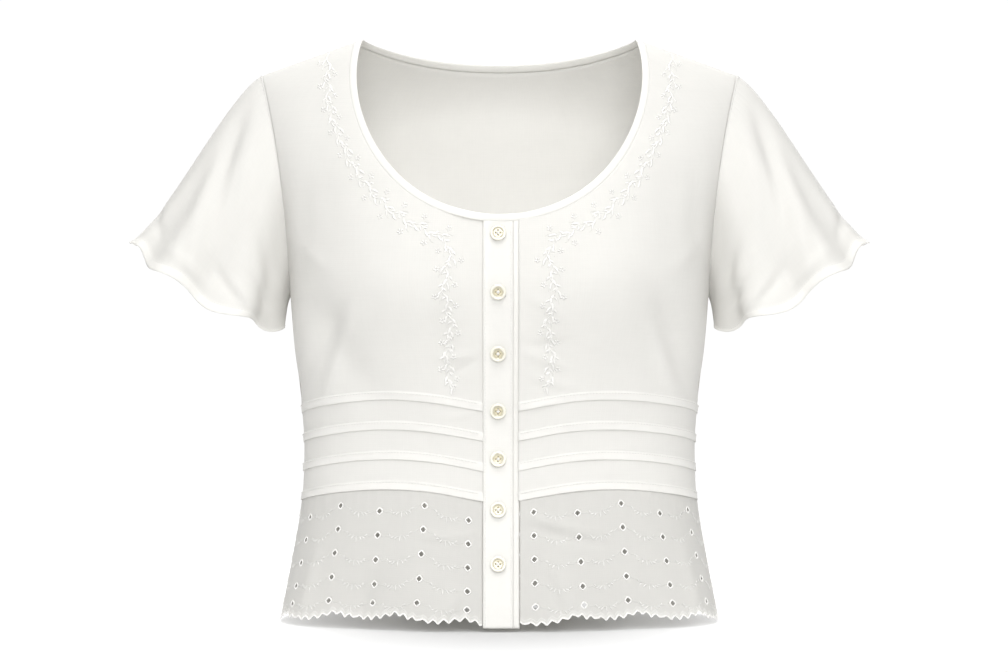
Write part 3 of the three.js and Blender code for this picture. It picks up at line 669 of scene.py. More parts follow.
# %% Rows of a panel
FLAP_STEPS = [  # height above the folded edge, distance out, extra layers
    (6.8, 0.0, 0.0),
    (7.2, 0.11, 0.2),
    (6.7, 0.3, 1.0),
    (4.0, 0.32, 1.0),
    (0.9, 0.33, 1.0),
    (0.2, 0.4, 1.0),
    (0.0, 0.58, 1.0),
    (0.2, 0.76, 1.0),
    (0.9, 0.83, 1.0),
    (2.6, 0.83, 1.0),
    (4.6, 0.78, 1.0),
    (6.2, 0.68, 1.0),
    (6.9, 0.45, 1.0),
    (7.5, 0.16, 0.5),
    (8.2, 0.03, 0.0),
]
BELOW_NEXT_FLAP, ABOVE_FLAP, PLAIN_PITCH = 6.0, 9.5, 2.6


def panel_rows():
    """Height, distance out and layers of each row, from the lowest tuck up to the armpit."""
    rows = []
    for i, edge in enumerate(TUCK_EDGES):
        flap = FLAP_STEPS[2:] if i == 0 else FLAP_STEPS
        rows += [(edge + up, out, extra) for up, out, extra in flap]
        last = i == len(TUCK_EDGES) - 1
        top = ARMPIT_HEIGHT if last else TUCK_EDGES[i + 1] + BELOW_NEXT_FLAP
        bottom = edge + ABOVE_FLAP
        plain = np.linspace(bottom, top, int(round((top - bottom) / PLAIN_PITCH)) + 1)
        rows += [(height, 0, 0) for height in (plain if last else plain[:-1])]
    return np.array(rows)


ROWS = panel_rows()
YOKE_RINGS = 46
ARMHOLE_STOPS = 40
ARMHOLE_SHARES = crowd_to_tip(np.linspace(0, 1, ARMHOLE_STOPS + 1))[1:]
FRONT_COLUMNS, BACK_COLUMNS = 72, 150
MAP_RADIUS = 120
SIDE_TURN = np.radians(50)
BACK_SIDE = 0.37
BACK_PACES = (0.65, 1.35)
print(f"{len(ROWS)} rows below the armpit, {YOKE_RINGS} rings above it")


def panel_net(lower_angle, columns, before, after, neckline, first, last, behind):
    """Points, faces, flat places and layers of a panel.

    Below the armpit, a point is at an angle that is spread evenly between the panel's two edges.
    Above it, a point is a blend of its place on the rim and its place on the neckline, corrected so
    that the net's first and last columns run exactly along the panel's own edges."""
    heights, out, layers = ROWS.T[:, :, None]
    angle = lower_angle(np.linspace(0, 1, columns + 1), heights)
    drop = drop_at(angle, heights + lift_at(angle, heights))
    flare = 1 + flap_ripple(angle, heights) * (out > 0.3)
    lower = on_cloth(angle, drop, out * flare, behind)
    t = np.linspace(0, 1, YOKE_RINGS + 1)[:, None]

    def rings(i, top_row, pace):
        """Angles (0) or drops (1) of the rings, from the rim to the neckline."""
        rim = np.concatenate([before[i], top_row, after[i]])
        k = np.linspace(0, 1, len(rim))
        plain = rim * (1 - t**pace) + neckline[i] * t**pace
        return plain + (first(t)[i] - plain[:, :1]) * (1 - k) + (last(t)[i] - plain[:, -1:]) * k

    turn_pace, rise_pace = BACK_PACES if behind else (1, 1)
    ring_drops = np.maximum(rings(1, drop[-1], rise_pace), 0)
    upper = on_cloth(rings(0, angle[-1], turn_pace), ring_drops, 0.0, behind)
    numbers = net_numbers(lower)
    shared = slice(len(before[0]), len(before[0]) + columns + 1)
    at_armholes = np.delete(np.arange(upper.shape[1]), shared)
    rim = np.empty(upper.shape[1], int)
    rim[shared] = numbers[-1]
    rim[at_armholes] = numbers.size + np.arange(len(at_armholes))
    rest = numbers.size + len(at_armholes) + net_numbers(upper[1:])
    points = np.concatenate([lower.reshape(-1, 3), upper[0, at_armholes], upper[1:].reshape(-1, 3)])
    faces = np.concatenate([net_faces(numbers), net_faces(np.vstack([rim, rest]))])
    extra = np.zeros(len(points))
    extra[: numbers.size] = np.repeat(layers, columns + 1)
    turn = np.arctan2(points[:, 0], points[:, 1] if behind else -points[:, 1])
    return points, faces, np.stack([turn * MAP_RADIUS, points[:, 2]], -1), extra


# %% The three panels
def front_net(side):
    """A front panel, for the wearer's left (1) or right (-1)."""
    centre = (PLACKET_UNDER[1] if side > 0 else -PLACKET_OVER[0]) - LAP
    last_turn = neck_ellipse(NECK_MARGIN)[2]
    even = np.linspace(neck_share_at(centre), SIDE_TURN / last_turn, FRONT_COLUMNS + 1)
    crowded = np.arccos(blend(np.cos(SIDE_TURN), np.cos(last_turn), ARMHOLE_SHARES)) / last_turn
    neckline = front_neckline(NECK_MARGIN, np.concatenate([even, crowded]))
    centre_top = shoulder_line(centre) - neckline[1][0]

    def turned(spot):
        return side * spot[0], spot[1]

    def lower_angle(share, height):
        return side * blend(angle_at(centre, height), QUARTER, share)

    points, faces, flat, extra = panel_net(
        lower_angle,
        FRONT_COLUMNS,
        (np.empty(0), np.empty(0)),
        turned(armhole(ARMHOLE_SHARES, False)),
        turned(neckline),
        lambda t: turned(place_at(np.full_like(t, centre), blend(ARMPIT_HEIGHT, centre_top, t))),
        lambda t: turned(shoulder_seam(t)),
        behind=False,
    )
    return points, faces[:, ::side], flat, extra


def back_net():
    """The back panel, from the left side seam round to the right one."""
    even = np.linspace(BACK_SIDE, -BACK_SIDE, BACK_COLUMNS + 1)
    crowded = blend(BACK_SIDE, 1, ARMHOLE_SHARES)
    angle, drop = armhole(ARMHOLE_SHARES, True)

    def right_seam(t):
        seam_angle, seam_drop = shoulder_seam(t, behind=True)
        return TURN - seam_angle, seam_drop

    return panel_net(
        lambda share, height: QUARTER + 2 * QUARTER * share + 0 * height,
        BACK_COLUMNS,
        (angle[::-1], drop[::-1]),
        (TURN - angle, drop),
        back_neckline(NECK_MARGIN, np.concatenate([crowded[::-1], even, -crowded])),
        lambda t: shoulder_seam(t, behind=True),
        right_seam,
        behind=True,
    )


make_cloth("front_left", front_net(1))
make_cloth("front_right", front_net(-1))
make_cloth("back", back_net())

# %% [markdown]
# ## Plackets and neck binding
#
# The plackets are straight strips of doubled cloth. The upper one lies on the lower one, each pressed
# flat with a soft edge. The binding is a folded strip sewn round the neck: its section is a low dome,
# and it starts under the placket and ends on top of it.

# %% Plackets
def placket_net(span, inside, thickness):
    """A strip that is flat with soft edges, and ripples a little."""
    across = np.linspace(0, 1, 21)[None]
    dome = thickness * (1 - np.exp(-np.minimum(across, 1 - across) * 28))
    x = blend(*span, across)
    top = shoulder_line(x) - front_neckline(NECK_MARGIN, neck_share_at(x))[1]
    height = blend(PLACKET_BOTTOM, top, np.linspace(0, 1, 170)[:, None])
    ripple = 0.25 * np.sin(height * 0.11 + x * 0.3) + 0.2 * np.sin(height * 0.047)
    points = on_cloth(*place_at(x, height), inside + 0.35 + dome * 0.8 + ripple * 0.4)
    faces = net_faces(net_numbers(points))
    points = points.reshape(-1, 3)
    flat = np.stack([x + 0 * height, height], -1).reshape(-1, 2)
    return points, faces, flat, np.ones(len(points))


make_cloth("placket_over", placket_net(PLACKET_OVER, SEAM_GAP, 1.3), PLACKET_THICKNESS)
make_cloth("placket_under", placket_net(PLACKET_UNDER, -1.6, 1.0), PLACKET_THICKNESS)

# %% Neck binding
BINDING_SECTION = (  # margin outside the opening, distance out of the cloth
    (6.3, 0.0), (6.1, 0.5), (5.6, 0.85), (4.6, 1.05), (3.2, 1.12), (1.8, 1.05), (0.8, 0.85),
    (0.2, 0.45), (0.0, 0.0), (0.25, -0.4), (1.2, -0.62), (3.0, -0.66), (5.0, -0.6), (6.2, -0.45),
)
UNDER_END, OVER_END, END_SLOPE = 18, 26, 14


def neck_stops():
    """Places round the neck, from under the placket round the back to the top of the placket: whether
    each is on the front neckline, and its share."""
    left = np.linspace(neck_share_at(PLACKET_UNDER[0]), 1, 150)
    behind = np.linspace(1, -1, 190)[1:-1]
    right = np.linspace(-1, neck_share_at(PLACKET_OVER[1]), 150)
    front = np.repeat([True, False, True], [len(left), len(behind), len(right)])
    return front, np.concatenate([left, behind, right])


def binding_points():
    """Rows go round the neck and columns from the panel's edge to the opening, over a low dome, and
    back along the inside. Where the binding passes from front to back, the rows come together."""
    front, share = neck_stops()
    step = np.arange(len(share))
    over_start = len(share) - OVER_END
    level = -0.9 + 0.5 * smoothstep(step, UNDER_END, UNDER_END + END_SLOPE)
    level = level + 1.6 * smoothstep(step, over_start - END_SLOPE, over_start)
    columns = []
    for margin, out in BINDING_SECTION:
        ahead = on_cloth(*front_neckline(margin, share), level + out)
        rear = on_cloth(*back_neckline(margin, share), level + out, behind=True)
        columns.append(np.where(front[:, None], ahead, rear))
    points = np.stack(columns, 1)
    points[np.abs(np.abs(share) - 1) < 1e-9, :, 1] *= 0.2
    return points


points = binding_points()
steps = np.linalg.norm(np.diff(points[:, 4], axis=0), axis=-1)
along = np.concatenate([[0], np.cumsum(steps)])
flat = np.stack(np.broadcast_arrays(along[:, None], np.arange(len(BINDING_SECTION)) * 1.0), -1)
faces = net_faces(net_numbers(points), closed=True)[:, ::-1].tolist()
points, flat = points.reshape(-1, 3), flat.reshape(-1, 2)
mesh = make_mesh("neck_binding_cloth", points, faces, flat, np.ones(len(points)))
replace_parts(link(mesh, cotton), "neck_binding")
print(f"binding: {along[-1]:.0f} mm round the neck")

# %% [markdown]
# ## Sleeves
#
# Each sleeve is a short flared tube. It leaves the armhole along one direction and reaches its open end
# along another, so every line down it is a Bezier curve. It is set in with a little fullness, so small
# puckers fan out from the seam, and longer folds fall down its front, side and back. The folds seen
# from the front are drawn where the photograph shows them, and their partners on the back are made up.

# %% The sleeve's form
OUTER_TIP, UNDERARM = np.array([312.0, 0, -155]), np.array([186.0, 0, -232])
HALF_DEPTH, HANG = 64, 12
START_TOP, START_TOP_REACH = np.array([0.88, 0, -0.47]), 33
START_UNDER, START_UNDER_REACH = np.array([0.45, 0, -0.89]), 9
START_SPREAD = 0.3
END_TOP, END_TOP_REACH = np.array([0.86, 0, -0.5]), 35
END_UNDER, END_UNDER_REACH = np.array([0.34, 0, -0.94]), 10
END_MIDDLE_REACH = 42
RUFFLES, RUFFLE_HEIGHT, RUFFLE_LIFT, RUFFLE_PHASE = 7, 5.5, 3.7, np.radians(-28)

SLEEVE_FOLDS = np.array(
    [  # place round the sleeve, spread, from, to, depth
        (44, 13, 0.1, 0.82, -1.2),
        (66, 13, 0.15, 1.1, 3),
        (96, 12, 0.5, 1.2, -4.5),
        (130, 11, 0.55, 1.2, 3.5),
        (215, 12, 0.5, 1.2, 4),
        (247, 13, 0.4, 1.2, -4.5),
        (300, 15, 0.1, 0.85, -6),
        (330, 13, 0.3, 1.2, 3),
    ],
    float,
)
SLEEVE_FRONT_CREASES = [  # as seen from the front, on the left sleeve
    (215, -44, 231, -100, 243, -168, 7, -4.6),
    (230, -66, 246, -110, 262, -176, 7, 1.8),
    (205, -60, 212, -112, 219, -186, 8, 2.2),
    (286, -126, 290, -142, 286, -156, 4.5, -2.4),
    (274, -166, 256, -176, 238, -204, 5, 2.2),
    (238, -176, 226, -196, 214, -214, 4.5, -2.4),
    (226, -186, 214, -202, 204, -222, 4.0, 2.2),
    (210, -184, 200, -200, 192, -218, 4.0, -2.0),
    (200, -150, 194, -176, 188, -200, 5.0, -1.8),
    (252, -140, 264, -166, 262, -196, 5.0, -1.8),
]
SLEEVE_BACK_CREASES = [
    (224, -40, 238, -96, 244, -170, 7, -2.6),
    (246, -86, 264, -130, 268, -186, 6, 2.0),
    (210, -66, 214, -120, 212, -196, 7, -1.6),
    (236, -170, 222, -192, 212, -216, 5, 2.2),
    (258, -140, 254, -170, 240, -202, 5, -2.0),
]


def arm_seam(around):
    """Where the sleeve is sewn on: down the front of the armhole (0 to half a turn) and up its back."""
    halves = np.mod(around, TURN) / TURN * 2
    share = crowd_to_tip(np.abs(1 - halves))
    ahead, rear = (body_point(*armhole(share, behind)) for behind in (False, True))
    return np.where((halves > 1)[..., None], rear, ahead)


def near_outer_tip(around):
    """1 at the sleeve's outer tip, where its end lies flat, and 0 where it ripples."""
    return smoothstep(np.cos(around), 0.82, 0.98)


def bezier(a, b, c, d, t):
    """Points of a cubic curve from a to d."""
    t = t[..., None]
    return (1 - t) ** 3 * a + 3 * t * (1 - t) ** 2 * b + 3 * t**2 * (1 - t) * c + t**3 * d


def smooth_sleeve(around, along):
    """A Bezier curve from the armhole to the open end, for each place round the sleeve."""
    around, along = np.broadcast_arrays(np.asarray(around, float), along)
    c, s = np.cos(around)[..., None], np.sin(around)[..., None]
    centre = (OUTER_TIP + UNDERARM) / 2
    half_axis = OUTER_TIP - centre
    outward = unit(np.array([half_axis[2], 0, -half_axis[0]]))
    tip = near_outer_tip(around)[..., None]
    lift = RUFFLE_LIFT * (np.cos(RUFFLES * around)[..., None] * (1 - tip) + 0.8 * tip)
    end = centre + half_axis * c + np.array([0, -HALF_DEPTH, 0]) * s
    end = end + outward * (HANG * s * s + lift)
    top = (1 + c) / 2
    near_top, off_under = top**5, smoothstep(top, 0, 0.4)
    start = arm_seam(around)
    start_way = blend(START_UNDER, START_TOP, top) + np.array([0, -START_SPREAD, 0]) * s
    end_way = blend(blend(END_UNDER, outward, off_under), END_TOP, near_top)
    reach = blend(blend(END_UNDER_REACH, END_MIDDLE_REACH, off_under), END_TOP_REACH, near_top)
    second = start + unit(start_way) * blend(START_UNDER_REACH, START_TOP_REACH, top)
    return bezier(start, second, end - unit(end_way) * reach, end, along)


def sleeve_relief(around, along):
    """Broad folds, each a bell round the sleeve and along it, and ripples that grow to the open end."""
    total = 0
    for place, spread, start, end, depth in SLEEVE_FOLDS:
        off = np.radians(place)
        off = np.arctan2(np.sin(around - off), np.cos(around - off)) / np.radians(spread)
        middle, half = (start + end) / 2, (end - start) / 2
        total = total + depth * np.exp(-(off**2) - 2 * ((along - middle) / half) ** 2)
    flutter = RUFFLE_HEIGHT * along**3 * np.sin(RUFFLES * around + RUFFLE_PHASE)
    calm = 1 - 0.5 * smoothstep(-np.cos(around), 0.6, 1)
    flutter = flutter * (1 - 0.85 * near_outer_tip(around))
    return (total * smoothstep(along, 0, 0.2) + flutter) * calm


def on_sleeve(around, along, out=0.0):
    """A point of the left sleeve with all its folds, moved out along its normal."""
    around, along, out = np.broadcast_arrays(np.asarray(around, float), along, out)
    base = smooth_sleeve(around, along)
    step = 0.01
    lower, upper = np.minimum(along + step, 1), np.maximum(along - step, 0)
    down = smooth_sleeve(around, lower) - smooth_sleeve(around, upper)
    turn = smooth_sleeve(around + step, along) - smooth_sleeve(around - step, along)
    ahead = crease_depth(base, SLEEVE_FRONT_CREASES) * smoothstep(-base[..., 1], -4, 12)
    rear = crease_depth(base, SLEEVE_BACK_CREASES) * smoothstep(base[..., 1], -4, 12)
    creases = (ahead + rear) * smoothstep(along, 0, 0.15)
    puckers = 0.35 * np.exp(-along / 0.07) * smoothstep(along, 0, 0.015)
    puckers = puckers * (np.sin(around * 61) + 0.6 * np.sin(around * 97 + 1.3))
    puckers = puckers * smoothstep(np.cos(around), -0.5, 0.6)
    raised = sleeve_relief(around, along) + creases + puckers + out
    return base + unit(np.cross(turn, down)) * raised[..., None]


# %% The two sleeves
SLEEVE_HEM = 0.94
CORD_POINTS, CORD_SINK = 240, 0.45


def sleeve_net(side):
    """A tube of points, with rows closer together at the armhole. Its hem is doubled."""
    around = np.linspace(0, TURN, 176, endpoint=False)[None]
    along = np.concatenate([np.linspace(0, 0.12, 12)[:-1], np.linspace(0.12, 1, 64)])[:, None]
    doubled = smoothstep(along, SLEEVE_HEM - 0.012, SLEEVE_HEM)
    outer = on_sleeve(around, along, 0.35 * doubled)
    faces = net_faces(net_numbers(outer), closed=True)[:, ::side]
    flat = np.stack(np.broadcast_arrays(around * 75, along * 150), -1).reshape(-1, 2)
    return outer.reshape(-1, 3) * (side, 1, 1), faces, flat, (doubled + 0 * around).ravel()


def armhole_cord(side):
    """Line and outward ways of the rolled seam where sleeve and body meet, which closes their gap."""
    line = arm_seam(np.linspace(0, TURN, CORD_POINTS, endpoint=False)[None])
    tangent = unit(np.roll(line, -1, 1) - np.roll(line, 1, 1))
    across = np.roll(line, -CORD_POINTS // 2, 1) - line
    inwards = unit(across - tangent * (across * tangent).sum(-1, keepdims=True))
    return (line + inwards * CORD_SINK) * (side, 1, 1), -inwards * (side, 1, 1)


make_cloth("sleeve_left", sleeve_net(1))
make_cloth("sleeve_right", sleeve_net(-1))

# %% [markdown]
# ## Eyelet lace
#
# The hem is a band of thin cotton with rows of eyelets: holes whose edges are sewn over. It is drawn
# flat, as a fine net of squares. Points near a hole's edge are moved onto it, the faces inside it are
# taken out, and the flat lace is then laid round the body. Its lower edge is cut in small points on
# larger lobes.

# %% Lace on the body
EYELET_RADIUS = 2.1
LACE_PITCH, LACE_OVERLAP = 1.22, 4
COLUMN_PITCH, FIRST_COLUMN, LAST_COLUMN = 40, 12, 14
FIRST_EYELET, ROW_PITCH, EYELET_ROWS = 11, 18.4, 5
STAGGER, LAST_STAGGER = 6, 2
POINT_WIDTH, POINT_DEPTH, LOBE_WIDTH, LOBE_DEPTH, LOBE_START = 8, 3.8, 55, 4.5, 11.5


class Lace:
    """A band of lace between two edges of the body, which are angles at a height."""

    def __init__(self, from_angle, to_angle, behind, mirrored):
        self.from_angle, self.to_angle, self.behind = from_angle, to_angle, behind
        middle = TUCK_EDGES[0] - LACE_HEIGHT / 2
        self.shares = np.linspace(0, 1, 61)
        angle = blend(from_angle(middle), to_angle(middle), self.shares)
        line = body_point(angle, drop_at(angle, middle))
        self.lengths = np.concatenate([[0], np.cumsum(np.linalg.norm(np.diff(line, axis=0), axis=-1))])
        self.width = self.lengths[-1]
        first = LAST_COLUMN if behind else FIRST_COLUMN
        room = self.width - first - LAST_COLUMN
        count = int(round(room / COLUMN_PITCH)) + 1
        self.columns = (LAST_COLUMN if mirrored else first) + np.arange(count) * room / (count - 1)

    def eyelets(self):
        """Centres across and down. Every other column is lower, and its last eyelet only a little."""
        across, row = np.meshgrid(self.columns, np.arange(EYELET_ROWS), indexing="ij")
        lower = np.where(row < EYELET_ROWS - 1, STAGGER, LAST_STAGGER)
        odd = np.arange(len(self.columns))[:, None] % 2
        return np.stack([across, FIRST_EYELET + row * ROW_PITCH + lower * odd], -1).reshape(-1, 2)

    def edge(self, across):
        """How far down the scalloped edge is."""
        lobe = LOBE_DEPTH * np.abs(np.sin(np.pi * (across + LOBE_START) / LOBE_WIDTH))
        phase = np.mod(across / POINT_WIDTH, 1)
        uneven = 0.78 + 0.22 * np.sin(across * 0.9 + 2 * np.sin(across * 0.11))
        point = POINT_DEPTH * uneven * (1 - np.abs(2 * phase - 1)) ** 0.9
        return LACE_HEIGHT + lobe + point - LOBE_DEPTH - POINT_DEPTH + 1

    def place(self, across, down):
        """Angle and drop of a flat place."""
        share = np.interp(across, self.lengths, self.shares)
        plain = TUCK_EDGES[0] - down
        angle = blend(self.from_angle(plain), self.to_angle(plain), share)
        return angle, drop_at(angle, plain + lift_at(angle, plain))

    def surface(self, across, down, out=0.0):
        """Points and normals of flat places, with small gathers under the seam."""
        angle, drop = self.place(across, down)
        gathers = 0.12 * np.sin(across * 0.55 + 2 * np.sin(across * 0.05)) * smoothstep(down, 30, 0)
        return on_cloth(angle, drop, out + gathers, self.behind), body_normal(angle, drop)


def lace_net(lace):
    """Flat places and faces of the band, with its holes cut out."""
    columns = int(round(lace.width / LACE_PITCH))
    rows = int(round((LACE_HEIGHT + LACE_OVERLAP) / LACE_PITCH))
    across = np.linspace(0, lace.width, columns + 1)[None] + np.zeros((rows + 1, 1))
    down = blend(-LACE_OVERLAP, lace.edge(across), np.linspace(0, 1, rows + 1)[:, None])
    flat = np.stack([across, down], -1).reshape(-1, 2)
    inside = np.zeros(len(flat), bool)
    for centre in lace.eyelets():
        away = flat - centre
        distance = np.linalg.norm(away, axis=-1)
        near = np.abs(distance - EYELET_RADIUS) < 0.66 * LACE_PITCH
        flat[near] = centre + away[near] / distance[near, None] * EYELET_RADIUS
        inside |= (distance < EYELET_RADIUS) & ~near
    faces = net_faces(np.arange(len(flat)).reshape(rows + 1, columns + 1))
    middles = flat[faces].mean(1)
    in_hole = inside[faces].any(1)
    for centre in lace.eyelets():
        in_hole |= np.linalg.norm(middles - centre, axis=-1) < EYELET_RADIUS * 0.93
    used, faces = np.unique(faces[~in_hole], return_inverse=True)
    return flat[used], faces.reshape(-1, 4)


def lace_cloth(lace):
    """The band on the body, tucked under the panel at the top and doubled along its edge."""
    flat, faces = lace_net(lace)
    across, down = flat.T
    points, _ = lace.surface(across, down, -0.5 * smoothstep(down, 1.0, -2.0))
    return points, faces[:, ::-1], flat, np.exp(-(((lace.edge(across) - down) / 2.5) ** 2))


def at_x(x):
    return lambda height: angle_at(x, height)


def at_angle(angle):
    return lambda height: angle + 0 * height


laces = {
    "front_left": Lace(at_x(PLACKET_UNDER[1] + SEAM_GAP), at_angle(QUARTER), False, False),
    "front_right": Lace(at_angle(-QUARTER), at_x(PLACKET_OVER[0] - SEAM_GAP), False, True),
    "back": Lace(at_angle(QUARTER), at_angle(3 * QUARTER), True, False),
}
for side, lace in laces.items():
    make_cloth(f"lace_{side}", lace_cloth(lace), LACE_THICKNESS, lace_cotton)

# %% [markdown]
# ## Raised thread
#
# Stitches, stems, leaves and the sewn rings of the eyelets are all the same thing: a bundle of thread
# along a line, wider than it is high. One function sweeps such a section along many lines at once.

# %% Strands of thread
STITCH_LENGTH, STITCH_PITCH, STITCH_HALF_WIDTH, PLACES_A_STITCH = 2.0, 2.7, 0.2, 8
STITCH_ARCH = np.array([-0.1, 0.15, 0.21, 0.15, -0.1])


def sweep(lines, normals, half_width, half_height, sides=6, closed=False):
    """Sweeps an oval section along lines of equal length. lines and normals are (count, points, 3), and
    the half sizes are broadcast to (count, points). Returns points, faces, caps and flat places."""
    count, steps = lines.shape[:2]
    tangents = np.roll(lines, -1, 1) - np.roll(lines, 1, 1) if closed else np.gradient(lines, axis=1)
    tangents = unit(tangents)
    aside = unit(np.cross(tangents, normals))
    up = unit(np.cross(aside, tangents))
    turn = np.linspace(0, TURN, sides, endpoint=False)
    rings = lines[:, :, None]
    for way, half, wave in ((aside, half_width, np.cos(turn)), (up, half_height, np.sin(turn))):
        half = np.broadcast_to(half, (count, steps))[..., None, None]
        rings = rings + way[:, :, None] * half * wave[:, None]
    numbers = np.arange(count * steps * sides).reshape(count, steps, sides)
    around = np.roll(numbers, -1, 2)
    walls = np.stack([numbers, np.roll(numbers, -1, 1), np.roll(around, -1, 1), around], -1)
    walls = walls if closed else walls[:, :-1]
    caps = [] if closed else numbers[:, 0].tolist() + numbers[:, -1, ::-1].tolist()
    lengths = np.linalg.norm(np.diff(lines, axis=1), axis=-1)
    along = np.concatenate([np.zeros((count, 1)), np.cumsum(lengths, 1)], 1)
    flat = np.stack(np.broadcast_arrays(along[..., None], turn * 2.0), -1)
    return rings.reshape(-1, 3), walls.reshape(-1, 4), caps, flat.reshape(-1, 2)


def make_thread(name, bundles, material=None):
    """Joins several sweeps into one piece."""
    faces, start = [], 0
    for points, walls, caps, _ in bundles:
        faces += (walls + start).tolist()
        faces += [[corner + start for corner in cap] for cap in caps]
        start += len(points)
    points, flat = (np.concatenate([bundle[i] for bundle in bundles]) for i in (0, 3))
    print(f"{name}: {len(faces)} faces")
    link(make_mesh(name, points, faces, flat), material or thread)


def evenly_spaced(line, points, spacing):
    """The places of a line again, at even steps along its points."""
    along = np.concatenate([[0], np.cumsum(np.linalg.norm(np.diff(points, axis=0), axis=-1))])
    stops = np.linspace(0, along[-1], int(along[-1] / spacing) + 1)
    return np.stack([np.interp(stops, along, column) for column in line.T], -1)


def stitch_row(surface, first, second):
    """Stitches along a line of places on a surface, which gives the points and normals of places."""
    line = np.stack(np.broadcast_arrays(first, second), -1)
    spots = evenly_spaced(line, surface(*line.T)[0], STITCH_PITCH / PLACES_A_STITCH)
    points, normals = surface(*spots.T)
    starts = np.arange((len(spots) - 1) // PLACES_A_STITCH)[:, None] * PLACES_A_STITCH
    last = PLACES_A_STITCH * STITCH_LENGTH / STITCH_PITCH
    picks = starts + np.round(np.linspace(0, last, len(STITCH_ARCH))).astype(int)
    lines = points[picks] + normals[picks] * STITCH_ARCH[:, None]
    return sweep(lines, normals[picks], STITCH_HALF_WIDTH, STITCH_HALF_WIDTH * 0.8, sides=5)

# %% [markdown]
# ## Finishing the lace
#
# Every eyelet has a sewn ring, slightly pointed on four sides. Thin garlands with small leaves sag from
# eyelet to eyelet, and a sewn cord follows the scalloped edge.

# %% Rings, garlands and edging
GARLAND_LEAVES = (  # share of the way across, angle from straight down, length
    (0.5, 0.0, 4.6),
    (0.43, -0.75, 4.2),
    (0.57, 0.75, 4.2),
    (0.34, -1.05, 3.4),
    (0.66, 1.05, 3.4),
    (0.25, -2.3, 2.8),
    (0.75, 2.3, 2.8),
)
GARLAND_SAG, GARLAND_GAP = 5.2, 3.4


def sewn_rings(lace):
    turn = np.linspace(0, TURN, 20, endpoint=False)
    radius = 2.35 * (1 + 0.08 * np.cos(4 * turn))
    x, y = lace.eyelets().T[:, :, None]
    points, normals = lace.surface(x + radius * np.cos(turn), y + radius * np.sin(turn), 0.05)
    return sweep(points, normals, 0.62, 0.45, closed=True)


def leaf_sweep(surface, across, down, half_width, half_height):
    """Leaves are swept bundles that swell in the middle and end in points."""
    swell = np.sin(np.pi * np.linspace(0.04, 0.96, across.shape[1])) ** 0.8
    return sweep(*surface(across, down), half_width * swell, half_height * swell)


def garlands(lace):
    """Sagging stems from each eyelet to the next, with leaves along them."""
    centres = lace.eyelets().reshape(len(lace.columns), EYELET_ROWS, 2)
    x0, y0 = centres[:-1].reshape(-1, 2).T
    x1, y1 = centres[1:].reshape(-1, 2).T
    x0, x1 = x0 + GARLAND_GAP, x1 - GARLAND_GAP

    def hanging(share):
        return blend(x0, x1, share), blend(y0, y1, share) + GARLAND_SAG * 4 * share * (1 - share) * 0.62

    t = np.linspace(0, 1, 26)[:, None]
    across, down = (values.T for values in hanging(t))
    down = np.minimum(down + 0.5 * np.sin(t.T * 31), lace.edge(across) - 2.0)
    bundles = [sweep(*lace.surface(across, down, 0.12), 0.22, 0.2, sides=5)]
    t = np.linspace(0, 1, 7)
    for share, lean, length in GARLAND_LEAVES:
        x, y = hanging(share)
        keep = y + length < lace.edge(x) - 1.0
        bend = 0.25 * np.sin(np.pi * t) * np.sign(lean)
        across = x[keep, None] + length * (t * np.sin(lean) + 0.3 * bend * np.cos(lean))
        down = y[keep, None] + length * (t * np.cos(lean) - 0.3 * bend * np.sin(lean))
        bundles.append(leaf_sweep(lambda a, d: lace.surface(a, d, 0.15), across, down, 0.62, 0.24))
    return bundles


def edging(lace):
    """A sewn cord along the scalloped edge, and a finer line above it."""
    across = np.linspace(0.3, lace.width - 0.3, int(lace.width / 0.8))[None]
    return [
        sweep(*lace.surface(across, lace.edge(across) - up, 0.02), half, half * 0.65)
        for up, half in ((0.4, 0.7), (3.4, 0.24))
    ]


for side, lace in laces.items():
    make_thread(f"lace_{side}_eyelet_rings", [sewn_rings(lace)])
    make_thread(f"lace_{side}_garlands", garlands(lace), faint_thread)
    make_thread(f"lace_{side}_edging", edging(lace))

# %% [markdown]
# ## Embroidered vine
#
# A white vine runs down each front: from the shoulder along the neck, and then straight down beside the
# placket. It is sewn in satin stitch, in pairs of leaves with small flowers and curls between them. The
# vine's line is a margin round the neckline, so it keeps its distance from the binding.

# %% Vine on the fronts
VINE_MARGIN = 25
VINE_X, VINE_TOP, VINE_BOTTOM = 41, -157, -283
VINE_LEAVES = (  # first place, side, angle from the stem, length, half width
    (6, 1, 0.95, 7.2, 1.1),
    (9, -1, 0.95, 6.8, 1.1),
    (11, 1, 1.5, 4.6, 0.9),
    (14, -1, 1.45, 4.4, 0.9),
    (12, 1, 0.35, 5.2, 0.8),
)


def front_surface(x, z, out=0.15):
    """Points and normals of the front at places seen from the front."""
    angle, drop = place_at(x, z)
    return on_cloth(angle, drop, out), body_normal(angle, drop)


def vine_line():
    """x and z of the left vine, from near the shoulder to its lower end."""
    across, down, last = neck_ellipse(VINE_MARGIN)
    turn = np.linspace(0.985 * last, np.arcsin(58 / across), 160)
    neck_part = np.stack([across * np.sin(turn), NECK_WIDEST - down * np.cos(turn)], -1)
    z = np.linspace(VINE_TOP - 12, VINE_BOTTOM, 80)
    straight = np.stack([VINE_X + 2.2 * np.sin((z - VINE_TOP) * 0.11), z], -1)
    start, end = neck_part[-1], straight[0]
    out_of_neck = start + unit(start - neck_part[-3]) * 9
    bridge = bezier(start, out_of_neck, end + np.array([-1.5, 9.0]), end, np.linspace(0, 1, 20)[1:-1])
    line = np.concatenate([neck_part, bridge, straight])
    return evenly_spaced(line, line, 1.0)


